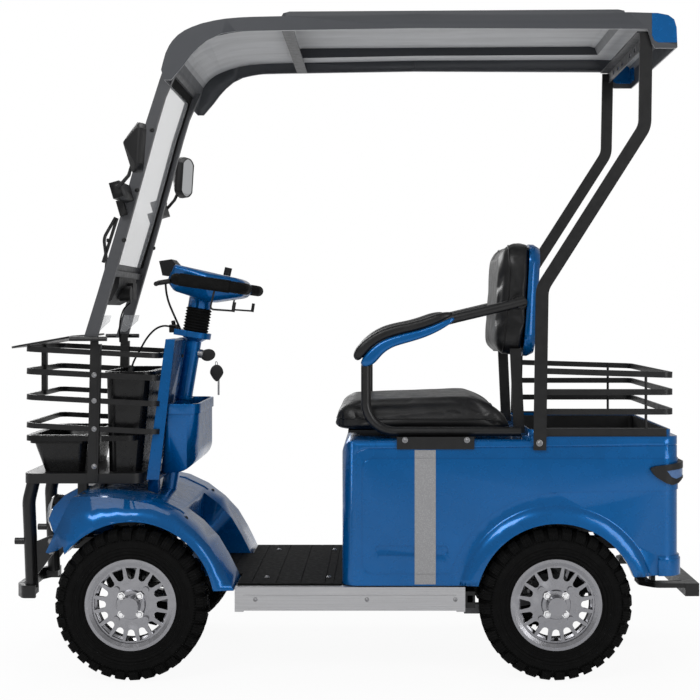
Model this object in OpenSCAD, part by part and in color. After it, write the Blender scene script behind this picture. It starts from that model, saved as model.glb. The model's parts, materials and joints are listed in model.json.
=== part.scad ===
// Four-wheeled mobility scooter with a weather roof. X runs forward, Y to the rider's left, Z up.
// The origin lies on the floor below the middle of the whole machine. Millimetres.

/* [Layout] */
// Distance between the axles
wheelbase = 1065; // [1040:5:1090]
// Front axle ahead of the origin
front_axle_x = 551; // [545:1:557]
// Middle of the left tyres to the middle of the right ones
track = 570; // [566:2:590]
// Floor to the top of the rubber deck mat
deck_h = 238; // [232:1:244]

/* [Wheels] */
// Radius out to the tips of the tread lugs
wheel_r = 192; // [188:1:194]
// Width of a tyre
tyre_w = 90; // [84:1:92]
// Radius of the rim flange
rim_r = 114.5; // [112:0.5:118]
// Lugs in each of the two tread rows
lug_count = 32; // [20:1:36]
// Windows round a rim
slot_count = 16; // [10:1:18]
// Height of a lug
lug_h = 7; // [4:0.5:9]

/* [Front] */
// Width over the front mudguards
front_w = 640; // [630:2:650]
// Wall of the moulded body parts
skin = 4; // [3:0.5:5]
// Width of the leg shield
shield_w = 350; // [330:5:370]
// Lean of the steering column from upright
column_lean = 9.5; // [7:0.5:11]
// Diameter of the fixed column tube
column_d = 42; // [40:1:48]

/* [Basket] */
// Width of the cage
basket_w = 390; // [370:5:400]
// Foremost point of the cage bands
basket_front_x = 852; // [840:1:860]
// Rise of the bands towards the front, in degrees
basket_tilt = 3; // [0:0.5:4]
// Thickness of the flat bar
flat_t = 6; // [4:0.5:8]

/* [Rear body] */
// Width of the rear body
body_w = 600; // [590:2:604]
// Front face of the rear body
body_front_x = 23; // [15:1:30]
// Rear face of the rear body
body_rear_x = -828; // [-834:1:-818]
// Lower edge of the rear body
body_low_h = 236; // [236:1:240]
// Flat top under the seat
body_top_h = 603; // [596:1:608]
// Radius of the rear wheel arch
rear_arch_r = 204; // [202:1:208]
// How far the arch flare stands out from the side
flare_out = 21; // [15:1:24]

/* [Seat] */
// Width of the seat cushion
seat_w = 470; // [440:5:480]
// Width of the back cushion
back_w = 410; // [380:5:430]
// Diameter of the arm tubes
arm_d = 25; // [22:1:28]

/* [Weather top] */
// Width of the roof
roof_w = 610; // [606:2:640]
// Height of the raised middle panel above the edge
roof_rise = 34; // [20:2:40]
// Width over the screen posts
screen_w = 436; // [430:2:450]

/* [Hidden] */
$fn = 48;

// Colours
blue = [0.02, 0.33, 0.62];
satin_black = [0.08, 0.08, 0.09];
charcoal = [0.25, 0.25, 0.26];
silver = [0.7, 0.7, 0.72];
rubber_black = [0.12, 0.12, 0.12];
clear_grey = [0.8, 0.82, 0.84, 0.5];

// Axles and clearances
front_x = front_axle_x;
rear_x = front_x - wheelbase;
wheel_y = track / 2;
fit = 0.3;
run_fit = 0.05;
kingpin_y = wheel_y - 42;
kingpin_r = 15;
kingpin_h = 84;
stub_r = 10;
arm_back = 95;
arm_in = 14;

// A child section, symmetric across the path, carried along a flat path with rounded bends.
// The bends are a hair thicker than the straights, so that each straight ends inside its bend.
lap = 0.4;
bend_swell = 1.005;
function heading(p, i) = atan2(p[i + 1][1] - p[i][1], p[i + 1][0] - p[i][0]);
function wrap_turn(a) = a > 180 ? a - 360 : a < -180 ? a + 360 : a;
function turn_at(p, i) = wrap_turn(heading(p, i) - heading(p, i - 1));
function cut_back(p, i, r) = i == 0 || i == len(p) - 1 ? 0 : r * tan(abs(turn_at(p, i)) / 2);
module bent_bar(p, r) {
    for (i = [0:len(p) - 2]) {
        a = heading(p, i);
        t = i == 0 ? 0 : cut_back(p, i, r) - lap;
        e = i == len(p) - 2 ? 0 : cut_back(p, i + 1, r) - lap;
        run = norm(p[i + 1] - p[i]) - t - e;
        translate([p[i][0] + t * cos(a), p[i][1] + t * sin(a), 0])
            rotate([0, 0, a])
                rotate([90, 0, 90])
                    linear_extrude(run) children();
    }
    if (len(p) > 2) for (i = [1:len(p) - 2]) {
        d = turn_at(p, i);
        s = sign(d);
        a = heading(p, i - 1);
        t = cut_back(p, i, r);
        c = p[i] - t * [cos(a), sin(a)] + s * r * [-sin(a), cos(a)];
        translate([c[0], c[1], 0])
            rotate([0, 0, s > 0 ? a - 90 : a + 90 + d])
                rotate_extrude(angle = abs(d)) translate([r, 0]) scale(bend_swell) children();
    }
}

// Puts a flat XY drawing upright in the XZ plane at a given Y
module upright(y = 0) translate([0, y, 0]) rotate([90, 0, 0]) children();

// Extrudes a side outline, drawn as X and Z, from y0 to y1
module across(y0, y1) translate([0, y1, 0]) rotate([90, 0, 0]) linear_extrude(y1 - y0) children();

module both_sides() {
    children();
    mirror([0, 1, 0]) children();
}

module box_at(lo, hi) translate(lo) cube(hi - lo);

// A rod or pin between two points
module rod(a, b, d) {
    v = b - a;
    translate(a)
        rotate([0, acos(v[2] / norm(v)), atan2(v[1], v[0])])
            cylinder(h = norm(v), d = d);
}

// Rectangle with rounded corners between two points of a flat drawing
module round_rect(lo, hi, r) {
    translate([lo[0] + r, lo[1]]) square([hi[0] - lo[0] - 2 * r, hi[1] - lo[1]]);
    translate([lo[0], lo[1] + r]) square([hi[0] - lo[0], hi[1] - lo[1] - 2 * r]);
    for (x = [lo[0] + r, hi[0] - r]) for (y = [lo[1] + r, hi[1] - r]) translate([x, y]) circle(r);
}

// Chassis
rail_y = 130;
rail_w = 30;
mat_t = 6;
pan_t = 3;
floor_h = deck_h - mat_t;
rail_top = floor_h - pan_t;
sill_y = 282;
sill_t = 24;
sill_front = 292;
sill_rear = -287;
arch_rail_h = 318;
well_y = 150;
well_back = 431;
rail_path = [
    [-800, arch_rail_h], [-395, arch_rail_h], [-310, rail_top - rail_w / 2],
    [492, rail_top - rail_w / 2], [548, arch_rail_h], [760, arch_rail_h]
];
module frame() color(satin_black) {
    both_sides() {
        upright(rail_y) bent_bar(rail_path, 50) square(rail_w, center = true);
        // Bracket with a window behind the sill, and the swing arm's pivot plate
        difference() {
            box_at([sill_rear - 28, rail_y + rail_w / 2 - 1, 172], [sill_rear, 262, 214]);
            box_at([sill_rear - 22, rail_y + rail_w / 2, 186], [sill_rear - 8, 263, 204]);
        }
        // Towers that carry the upper ends of the spring dampers
        for (x = [-445, 531]) {
            box_at([x - 15, rail_y - 15, x > 0 ? 284 : arch_rail_h], [x + 15, rail_y + 15, 405]);
            box_at([x - 15, rail_y - 15, 395], [x + 15, 212, 405]);
        }
    }
    for (x = [[-790, arch_rail_h], [-420, arch_rail_h], [-200, rail_top - rail_w / 2],
              [200, rail_top - rail_w / 2], [706, arch_rail_h]])
        box_at([x[0] - 12, -rail_y, x[1] - 12], [x[0] + 12, rail_y, x[1] + 12]);
    box_at([-285, -sill_y, rail_top], [292, sill_y, floor_h]);
    box_at([292, -well_y + fit, rail_top], [well_back - fit, well_y - fit, floor_h]);
    // Front plate that carries the basket stays and the bumper
    box_at([742, -rail_y - 15, arch_rail_h - 15], [760, rail_y + 15, arch_rail_h + 12]);
    // Column foot with the lower bearing of the steering shaft
    difference() {
        union() {
            box_at([486, -40, arch_rail_h - 12], [600, 40, arch_rail_h + 12]);
            box_at([584, -rail_y, arch_rail_h - 12], [608, rail_y, arch_rail_h + 12]);
        }
        steering_axis(axis_h) translate([0, 0, -620]) cylinder(h = 200, r = shaft_r + run_fit);
    }
    // Posts under the seat
    for (x = [-60, -400]) both_sides() box_at([x - 12, rail_y - 12, 220], [x + 12, rail_y + 12,
        body_top_h - skin - 1]);
}

mat_grooves = [42, 64, 126, 188, 250];
module deck_mat() color(rubber_black) difference() {
    union() {
        box_at([body_front_x + 1, -sill_y, floor_h], [288, sill_y, deck_h]);
        box_at([280, -well_y + fit, floor_h], [well_back - fit, well_y - fit, deck_h]);
    }
    // Drain notches at the sills and grooves across
    both_sides() for (x = [96, 230]) box_at([x, sill_y - 4, floor_h - 1], [x + 8, sill_y + 1,
        deck_h + 1]);
    for (x = mat_grooves) box_at([x, -sill_y + 14, deck_h - 1.5], [x + 4, sill_y - 14, deck_h + 1]);
    for (i = [0:3]) box_at([318 + i * 24, -well_y + 12, deck_h - 1.5], [321 + i * 24, well_y - 12,
        deck_h + 1]);
}

module side_rails() {
    cap = 22;
    color(silver) both_sides() difference() {
        box_at([sill_rear + cap, sill_y, 175], [sill_front - cap, sill_y + sill_t, 234]);
        box_at([sill_rear, sill_y + 3, 179], [sill_front, sill_y + sill_t - 3, 230]);
        box_at([sill_rear, sill_y + sill_t - 1.5, 213], [sill_front, sill_y + sill_t + 1, 216]);
    }
    color(satin_black) both_sides() {
        box_at([sill_rear, sill_y, 172], [sill_rear + cap, sill_y + sill_t, 234]);
        box_at([sill_front - cap, sill_y, 172], [sill_front, sill_y + sill_t, 234]);
    }
}

// Front body: two mudguards joined by the top deck, open below, with a foot well between them
guard_ridge = [[293, 228], [303, 250], [323, 290], [351, 337], [390, 379], [440, 417], [495, 443], [552,
    455],
    [600, 461], [650, 464], [694, 462], [700, 456], [712, 434], [734, 387], [763, 324], [757, 321], [733,
        329],
    [720, 339]];
arch_x_front = front_x - 1;
arch_open_r = 209;
well_top = 421;
module guard_outline(inset) difference() {
    offset(delta = -inset) polygon(concat(guard_ridge, [[700, 220]]));
    translate([arch_x_front, wheel_r]) circle(arch_open_r - inset);
    translate([front_x, 150]) square([230, 166]);
    translate([arch_x_front, wheel_r]) rotate(-64) square([400, 300]);
}
nose_w = 190;
module nose_outline(inset) offset(delta = -inset)
    polygon([[640, 463], [722, 461], [770, 436], [800, 404], [812, 373], [800, 336], [778, 318], [640,
        318]]);
module front_body() color(blue) {
    difference() {
        across(-front_w / 2, front_w / 2) guard_outline(0);
        across(-front_w / 2 + skin, front_w / 2 - skin) {
            guard_outline(skin);
            translate([arch_x_front, wheel_r]) circle(arch_open_r);
            translate([arch_x_front - 130, 100]) square([240, 260]);
        }
        // The nose and the foot well take the middle
        box_at([640, -nose_w / 2 - 6, 300], [800, nose_w / 2 + 6, 458]);
        box_at([200, -well_y, 200], [well_back, well_y, well_top]);
        steering_axis(axis_h) translate([0, 0, -520]) cylinder(h = 200, d = column_d + 2 * fit);
        // Slots for the rails and for the posts of the basket
        box_at([600, -rail_y - 15 - fit, 300], [763.3, rail_y + 15 + fit, arch_rail_h + 15 + fit]);
        both_sides() box_at([700 - fit, rail_y - 12 - fit, 300], [724 + fit, rail_y + 12 + fit, 480]);
    }
    // Flange round the arch edge
    both_sides() translate([arch_x_front, front_w / 2 - 16, wheel_r]) rotate([-90, 0, 0])
        rotate_extrude(start = -170, angle = 132) translate([arch_open_r - 1, 0]) square([4, 17.5]);
    // Lining of the foot well
    difference() {
        box_at([300, -well_y - skin, floor_h], [well_back + skin, well_y + skin, well_top + skin]);
        box_at([290, -well_y, floor_h - 1], [well_back, well_y, well_top + 10]);
        across(-well_y - 10, well_y + 10) difference() {
            translate([280, 200]) square([170, 300]);
            guard_hull();
        }
    }
    // Nose with the lamp bowl
    difference() {
        across(-nose_w / 2, nose_w / 2) nose_outline(0);
        across(-nose_w / 2 + skin, nose_w / 2 - skin) nose_outline(skin);
        translate([lamp_x - 60, 0, lamp_h]) rotate([0, 90, 0]) cylinder(h = 100, r = lamp_r + 1);
        box_at([600, -nose_w / 2 + skin, 300], [700, nose_w / 2 - skin, 456]);
        box_at([690, -rail_y, 300], [790, rail_y, 336]);
        box_at([600, -rail_y, 300], [763.3, rail_y, arch_rail_h + 15 + fit]);
    }
    // Raised strips on the deck
    both_sides() across(222, 240) difference() {
        intersection() {
            offset(delta = 2.5) polygon(concat(guard_ridge, [[700, 220]]));
            translate([428, 380]) square([84, 100]);
        }
        offset(delta = -2) polygon(concat(guard_ridge, [[700, 220]]));
    }
}
module guard_hull() offset(delta = -0.5) polygon(concat(guard_ridge, [[700, 220]]));

// Steering column. The axis leans back from a point at the front of the frame
axis_x = 437;
axis_h = 854;
module steering_axis(at_h) {
    translate([axis_x - (at_h - axis_h) * tan(column_lean), 0, at_h]) rotate([0, -column_lean, 0])
        children();
}
shaft_r = 11;
module column_tube() color(blue) difference() {
    union() {
        steering_axis(axis_h) translate([0, 0, -540]) cylinder(h = 539, d = column_d);
        // Flange with a square nose under the bellows, and collars
        steering_axis(axis_h) {
            translate([0, 0, 2]) cylinder(h = 16, r = 44);
            translate([0, -40, 2]) cube([52, 80, 16]);
            translate([0, 0, -8]) cylinder(h = 10.5, r1 = column_d / 2 + 1, r2 = 36);
            translate([0, 0, -170]) cylinder(h = 8, r = column_d / 2 + 3);
        }
        translate([0, 0, arch_rail_h + 12])
            translate([axis_x + (axis_h - arch_rail_h - 12) * tan(column_lean) - 30, -30, 0]) cube([60,
            60, 8]);
    }
    steering_axis(axis_h) translate([0, 0, -600]) cylinder(h = 700, r = shaft_r + run_fit);
    box_at([400, -60, 200], [620, 60, arch_rail_h + 12]);
}

// Leg shield: a panel with flanges along its edges, thicker towards the foot
shield_top = [487, 854];
shield_low = [537, 487];
shield_t_top = 25;
shield_t_low = 33;
module shield_outline(front, rear, low) {
    polygon([[shield_top[0] - front, shield_top[1]], [shield_low[0] - front, shield_low[1] + low],
             [shield_low[0] - shield_t_low + rear, shield_low[1] + low],
                 [shield_top[0] - shield_t_top + rear, shield_top[1]]]);
}
module leg_shield() color(blue) {
    difference() {
        across(-shield_w / 2, shield_w / 2) shield_outline(0, 0, 0);
        // Hollow towards the rider, behind the front panel
        across(-shield_w / 2 + skin, shield_w / 2 - skin) intersection() {
            shield_outline(skin, -20, 0);
            translate([400, shield_low[1] + skin]) square([200,
                shield_top[1] - shield_low[1] - 2 * skin]);
        }
        // Panel recess in front, pressed in
        across(-shield_w / 2 + 40, shield_w / 2 - 40) intersection() {
            translate([34, 0]) shield_outline(0, 0, 0);
            translate([400, 530]) square([200, 270]);
            translate([1.5, 0]) shield_outline(1.5, -40, 0);
        }
        steering_axis(axis_h) translate([0, 0, -420]) cylinder(h = 500, d = column_d + 2 * fit);
        steering_axis(axis_h) translate([-60, -47, -9]) cube([140, 94, 40]);
        steering_axis(axis_h) translate([0, 0, -170 - fit]) cylinder(h = 8 + 2 * fit,
            r = column_d / 2 + 3 + fit);
    }
    // Feet that stand on the top deck
    both_sides() across(110, 150) polygon([[537, 487.5], [537, 456], [512, 447.5], [512, 487.5]]);
}

// Knee bin: an open pocket behind the shield, with a rolled rim, that the column passes through
bin_top = 684;
bin_low = 504;
bin_rear = 405;
bin_w = 316;
bin_round = 62;
module bin_outline(inset) difference() {
    union() {
        translate([bin_rear + inset, bin_low + bin_round]) square([140,
            bin_top - bin_low - bin_round + inset * 3]);
        translate([bin_rear + bin_round, bin_low + inset]) square([90, 80]);
        translate([bin_rear + bin_round, bin_low + bin_round]) circle(bin_round - inset);
    }
    bin_front_cut(inset);
}
// Everything ahead of the shield's rear edge
module bin_front_cut(inset) translate([-inset - fit, 0])
    polygon([[shield_top[0] - shield_t_top, shield_top[1]], [shield_low[0] - shield_t_low, shield_low[1]],
             [shield_low[0] - shield_t_low + 5, 450], [700, 450], [700, shield_top[1]]]);
module knee_bin() color(blue) difference() {
    union() {
        intersection() {
            across(-bin_w / 2, bin_w / 2) bin_outline(0);
            translate([0, 0, 480]) linear_extrude(230) bin_plan(0);
        }
        difference() {
            translate([0, 0, bin_top - 26]) linear_extrude(26) bin_plan(-4);
            across(-bin_w, bin_w) bin_front_cut(0);
        }
    }
    intersection() {
        across(-bin_w / 2 + skin, bin_w / 2 - skin) bin_outline(skin);
        translate([0, 0, 480]) linear_extrude(230) bin_plan(skin);
    }
    steering_axis(axis_h) translate([0, 0, -400]) cylinder(h = 500, d = column_d + 2 * fit);
    steering_axis(axis_h) translate([0, 0, -170 - fit]) cylinder(h = 8 + 2 * fit,
        r = column_d / 2 + 3 + fit);
}
module bin_plan(inset) {
    translate([bin_rear + 30, -bin_w / 2 + inset]) square([120, bin_w - 2 * inset]);
    round_rect([bin_rear + inset, -bin_w / 2 + inset], [bin_rear + 120, bin_w / 2 - inset], 30 - inset);
}

// Headlamp between the mudguards
lamp_h = 373;
lamp_r = 53;
lamp_x = 772;
module headlamp() color(silver) translate([lamp_x, 0, lamp_h]) rotate([0, 90, 0]) {
    difference() {
        rotate_extrude() polygon([[0, -26], [26, -26], [44, -10], [lamp_r - 1, 26], [lamp_r, 36],
            [lamp_r, 44],
            [lamp_r - 4, 50], [lamp_r - 8, 44], [lamp_r - 9, 40], [30, 0], [0, -8]]);
    }
    translate([0, 0, -10]) cylinder(h = 26, r = 9);
    // Bracket down to the frame
    rotate([0, -90, 0]) translate([-20, 0, -lamp_h]) box_at([-4, -14, arch_rail_h + 15], [4, 14,
        lamp_h - 30]);
}
module headlamp_lens() color([0.9, 0.92, 0.95]) translate([lamp_x, 0, lamp_h]) rotate([0, 90, 0])
    rotate_extrude() polygon([[0, 44.3], [lamp_r - 8.4, 44.3], [lamp_r - 8.4, 48], [lamp_r - 14, 54],
        [30, 60], [15, 62], [0, 62.5]]);

// Front bumper: two bowed tubes, stubs, stay plates and a low bar with cut corners
bumper_y = 117;
bumper_d = 34;
bumper_low = 188;
module front_bumper() color(satin_black) {
    both_sides() {
        upright(bumper_y) bent_bar([[846, 478.2], [859, 424], [855, 330], [850, 196]], 90)
            circle(d = bumper_d);
        rod([895, bumper_y, 318], [850, bumper_y, 318], 18);
        // Stay plate back to the frame
        difference() {
            across(bumper_y - 4, bumper_y + 4)
                polygon([[852, 236], [852, 312], [800, 333], [760.3, 333], [760.3, 303], [790, 290],
                    [838, 226]]);
            translate([800, bumper_y, 306]) rotate([90, 0, 0]) cylinder(h = 30, r = 9, center = true);
        }
    }
    translate([0, 0, bumper_low])
        bent_bar([[836, 138], [866, 138], [884, 106], [884, -106], [866, -138], [836, -138]], 12)
            square([12, 33], center = true);
    both_sides() box_at([836, bumper_y - 14, bumper_low - 8], [868, 137, bumper_low + 8]);
}

// Basket cage: closed bands carried by two pairs of flat uprights
upright_x = 672;
basket_y = basket_w / 2;
basket_base_h = 484;
cage_top_h = 820;
cage_bands = [[602, 18, 0], [622, 14, 34], [695, 14, 34], [762, 15, 34], [cage_top_h, 14, 0]];
module loop_plan(w, r) difference() {
    round_rect([shield_top[0] + 12, -basket_y], [basket_front_x, basket_y], r);
    round_rect([shield_top[0] + 12 + w, -basket_y + w], [basket_front_x - w, basket_y - w], r - w);
}
module tilted(h) translate([upright_x, 0, h]) rotate([0, -basket_tilt, 0]) translate([-upright_x, 0, 0])
    children();
module basket_frame() color(satin_black) difference() {
    union() {
        for (b = [1:4]) tilted(cage_bands[b][0]) translate([0, 0, -cage_bands[b][1] / 2])
            linear_extrude(cage_bands[b][1]) loop_plan(flat_t, 34);
        both_sides() {
            // Uprights lean with the shield, the front one wider
            across(basket_y, basket_y + 5) polygon([[686, basket_base_h], [664, basket_base_h], [657,
                848], [657, 862], [678, 862], [678, 848]]);
            across(basket_y - 12, basket_y + 4) polygon([[668, basket_base_h], [659, basket_base_h],
                [651, 842], [661, 842]]);
        }
        // Middle upright in front
        box_at([basket_front_x - 12, -8, 700], [basket_front_x + 2, 8, 836]);
        // Base plate with a turned-down edge
        difference() {
            translate([0, 0, basket_base_h - 4]) linear_extrude(26)
                round_rect([545, -basket_y], [basket_front_x + 2, basket_y], 30);
            translate([0, 0, basket_base_h - 5]) linear_extrude(24)
                round_rect([548, -basket_y + 3], [basket_front_x - 1, basket_y - 3], 27);
        }
        // Posts from the base plate down to the front frame
        both_sides() box_at([700, rail_y - 12, arch_rail_h + 15], [724, rail_y + 12, basket_base_h + 20]);
    }
    // The leg shield passes between the ends of the bands
    across(-shield_w / 2 - 0.5, shield_w / 2 + 0.5) translate([fit, 0]) polygon([[300, 470],
        [shield_low[0] + 2, 470],
        [shield_low[0], shield_low[1]], [shield_top[0], shield_top[1]], [300, shield_top[1]]]);
}
// Sloping wind shelf over the front of the basket
module shelf_plan(inset) {
    round_rect([inset, -basket_y + inset], [172 - inset, basket_y - inset], 46 - inset);
    translate([inset, -basket_y + inset]) square([80, 2 * (basket_y - inset)]);
}
module wind_shelf() color(satin_black) translate([725, 0, 864]) rotate([0, 10, 0]) difference() {
    translate([0, 0, -5]) linear_extrude(5) shelf_plan(0);
    translate([0, 0, -1]) linear_extrude(2) intersection() {
        shelf_plan(8);
        translate([60, -200]) square([94, 400]);
    }
}

module tub(low, high, in_low, in_high) difference() {
    hull() {
        translate([0, 0, low[0]]) linear_extrude(1) round_rect(low[1], low[2], low[3], $fn = 32);
        translate([0, 0, high[0]]) linear_extrude(1) round_rect(high[1], high[2], high[3], $fn = 32);
    }
    hull() {
        translate([0, 0, low[0] + 4]) linear_extrude(1) round_rect(in_low[0], in_low[1], in_low[2],
            $fn = 32);
        translate([0, 0, high[0] + 1]) linear_extrude(1) round_rect(in_high[0], in_high[1], in_high[2],
            $fn = 32);
    }
}
module basket_tubs() color([0.1, 0.1, 0.1]) {
    // Deep tub behind the uprights
    tub([506.3, [558, -150], [644, 150], 30], [757, [532, -176], [646, 176], 34],
        [[562, -146], [640, 146], 26], [[536, -172], [642, 172], 30]);
    difference() {
        translate([0, 0, 756]) linear_extrude(14) round_rect([518, -184], [650, 184], 38);
        translate([0, 0, 755]) linear_extrude(18) round_rect([536, -172], [642, 172], 30);
    }
    // Shallow tray in front
    tub([506.3, [706, -150], [810, 150], 16], [583, [694, -176], [832, 176], 20],
        [[710, -146], [806, 146], 12], [[698, -172], [828, 172], 16]);
    difference() {
        translate([0, 0, 583]) linear_extrude(22) round_rect([690, -186], [843, 186], 28);
        translate([0, 0, 582]) linear_extrude(24) round_rect([698, -172], [828, 172], 16);
    }
    // Rim round the tray that carries on to the shield as the lowest band
    difference() {
        translate([0, 0, 590]) linear_extrude(14) round_rect([560, -basket_y], [basket_front_x,
            basket_y], 34);
        translate([0, 0, 589]) linear_extrude(16) round_rect([566, -basket_y + 10], [basket_front_x - 10,
            basket_y - 10], 26);
        both_sides() box_at([650, basket_y - 13, 580], [687, basket_y + 1, 610]);
    }
}

// Rear body: a hollow shell with wheel arches, flares and an open cargo hatch
arch_x = rear_x - 3;
flare_r = 250;
ledge_r = 278;
hatch_front = -452;
hatch_rear = body_rear_x + 22;
body_y = body_w / 2;
hatch_y = body_y - 20;
rim_h = body_top_h + 8;
tail_low_h = 262;
panel_rise = 2.5;
panel_low = 268;
panel_top = 556;
module body_plan(inset) {
    round_rect([body_rear_x + inset, -body_y + inset], [body_front_x - inset, body_y - inset],
        42 - inset);
}
module body_side(inset) {
    difference() {
        translate([body_rear_x + inset, body_low_h])
            square([body_front_x - body_rear_x - 2 * inset, body_top_h - body_low_h - inset]);
        // Rounded upper front edge
        difference() {
            translate([body_front_x - 36, body_top_h - 36]) square(40);
            translate([body_front_x - 36, body_top_h - 36]) circle(36 - inset);
        }
    }
}
// Section across the body, with softened upper edges
module body_section(inset) {
    polygon([[-body_y + inset, 100], [-body_y + inset, body_top_h - 14], [-body_y + 4 + inset,
        body_top_h - 5], [-body_y + 13 + inset, body_top_h - inset],
        [body_y - 13 - inset, body_top_h - inset], [body_y - 4 - inset, body_top_h - 5], [body_y - inset,
            body_top_h - 14], [body_y - inset, 100]]);
}
module flare() {
    translate([arch_x, 0, wheel_r]) rotate([-90, 0, 0]) rotate_extrude()
        polygon([[rear_arch_r - 4, body_y - 30], [rear_arch_r - 4, body_y + flare_out - 3],
                 [rear_arch_r, body_y + flare_out], [rear_arch_r + 24, body_y + flare_out - 3],
                     [rear_arch_r + 34, body_y + flare_out - 9],
                 [flare_r - 5, body_y + 6], [flare_r, body_y], [flare_r, body_y - 30]]);
}
module side_panel(grow) difference() {
    polygon([[-29, panel_low + 22], [-35, panel_low + 6], [-51, panel_low], [arch_x, panel_low], [arch_x,
        472], [-900, 478],
        [-900, panel_top], [-52, panel_top], [-36, panel_top - 6], [-29, panel_top - 22]]);
    translate([arch_x, wheel_r]) circle(ledge_r);
}
module rear_body() color(blue) {
    difference() {
        union() {
            intersection() {
                translate([0, 0, body_low_h]) linear_extrude(body_top_h - body_low_h) body_plan(0);
                across(-body_y, body_y) body_side(0);
                translate([-900, 0, 0]) rotate([90, 0, 90]) linear_extrude(1000) body_section(0);
            }
            both_sides() difference() {
                flare();
                box_at([rear_x - 300, 200, -100], [rear_x + 300, 400, body_low_h + 3]);
            }
            // Raised panel that sweeps round the arch and on round the tail
            intersection() {
                translate([0, 0, body_low_h]) linear_extrude(400) body_plan(-panel_rise);
                across(-body_y - 10, body_y + 10) side_panel();
            }
            // Foot of the rear corners
            intersection() {
                union() {
                    translate([0, 0, tail_low_h]) linear_extrude(41) body_plan(-8);
                    translate([0, 0, tail_low_h + 40]) linear_extrude(9) body_plan(-5);
                }
                box_at([-900, -400, 200], [-772, 400, 400]);
            }
            // Upstand round the hatch
            translate([0, 0, body_top_h - skin]) linear_extrude(25 + skin)
                round_rect([hatch_rear - skin, -hatch_y - skin], [hatch_front + skin, hatch_y + skin],
                    20);
            translate([0, 0, body_top_h - 16]) linear_extrude(24)
                round_rect([body_rear_x, -body_y], [hatch_front + 20, body_y], 42);
        }
        // Hollow inside
        intersection() {
            translate([0, 0, body_low_h - 1]) linear_extrude(body_top_h - skin - body_low_h + 1)
                body_plan(skin);
            across(-body_y, body_y) translate([0, -1]) body_side(skin);
            translate([-900, 0, 0]) rotate([90, 0, 90]) linear_extrude(1000) body_section(skin);
        }
        // Cargo hatch
        translate([0, 0, body_top_h - 30]) linear_extrude(80)
            round_rect([hatch_rear, -hatch_y], [hatch_front, hatch_y], 16);
        // Wheel arches and the higher lower edge behind them
        both_sides() translate([arch_x, body_y - 70, wheel_r]) rotate([-90, 0, 0]) cylinder(h = 120,
            r = rear_arch_r - 1);
        box_at([-900, -400, 200], [arch_x - 100, 400, tail_low_h]);
        // Long shallow recess low on each side
        both_sides() across(body_y, body_y + 20) round_rect([-244, 313], [-60, 338], 12);
        // Shut line of the seat base
        both_sides() upright(body_y) bent_bar([[2, body_low_h - 5], [2, 580], [body_rear_x - 10, 589]],
            46) square([3, 4], center = true);
        translate([0, 0, 587.5]) linear_extrude(3) difference() {
            translate([body_rear_x - 10, -400]) square([46, 800]);
            body_plan(2);
        }
    }
}

stripe_t = 0.8;
module side_stripes() color(silver) both_sides() translate([-213, 0, 0]) rotate([90, 0, 90])
    linear_extrude(53)
    polygon([[body_y, body_low_h + 4], [body_y + stripe_t, body_low_h + 4], [body_y + stripe_t,
        panel_low - 1],
        [body_y + panel_rise + stripe_t, panel_low - 1], [body_y + panel_rise + stripe_t, panel_top + 1],
            [body_y + stripe_t, panel_top + 1],
        [body_y + stripe_t, 578], [body_y, 578], [body_y, panel_top], [body_y + panel_rise, panel_top],
        [body_y + panel_rise, panel_low], [body_y, panel_low]]);

// Liner tray of the cargo hatch
liner_low = 410;
module cargo_liner() color(satin_black) difference() {
    translate([0, 0, liner_low]) linear_extrude(body_top_h + 22 - liner_low)
        round_rect([hatch_rear + fit, -hatch_y + fit + 60], [hatch_front - fit, hatch_y - fit - 60], 16);
    translate([0, 0, liner_low + 3]) linear_extrude(300)
        round_rect([hatch_rear + 3, -hatch_y + 63], [hatch_front - 3, hatch_y - 63], 13);
}

// Roof posts: flat bars outside the body that lean inwards as they rise
post_t = 8;
post_foot_h = 578;
post_lean = 0.8;
post_y = body_y + post_t / 2 + 0.8;
function post_in_y(h) = post_y - post_t / 2 / cos(post_lean) - (h - post_foot_h) * tan(post_lean);

// Cargo rack: U bands that start at the roof posts, on thin rods, and a bar along each side of the hatch
rack_y = 289;
rack_front = -488;
rack_rear = -812;
rack_bands = [[673.5, 0], [723, 0], [771, 1.8]];
module cargo_rack() color(satin_black) {
    for (q = rack_bands) translate([(rack_front + rack_rear) / 2, 0, q[0]]) rotate([0, -q[1], 0])
        translate([-(rack_front + rack_rear) / 2, 0, 0])
        bent_bar([[rack_front, rack_y], [rack_rear, rack_y], [rack_rear, -rack_y], [rack_front,
            -rack_y]], 22)
            square([6, 15], center = true);
    both_sides() {
        rod([-744, rack_y - 1, rim_h], [-744, rack_y - 1, 772], 7);
        box_at([-795, rack_y - 4, rim_h], [rack_front - 4, rack_y + 4, rim_h + 21]);
        // Lugs to the roof posts
        for (q = rack_bands) box_at([rack_front - 4, rack_y + 2, q[0] + (q[1] > 0 ? -1 : -7)],
            [rack_front + 16, post_in_y(q[0] + 7) - 0.05, q[0] + 7]);
        box_at([rack_front - 6, rack_y - 4, rim_h], [rack_front + 16, post_in_y(rim_h + 21) - 0.05,
            rim_h + 21]);
    }
}

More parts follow.
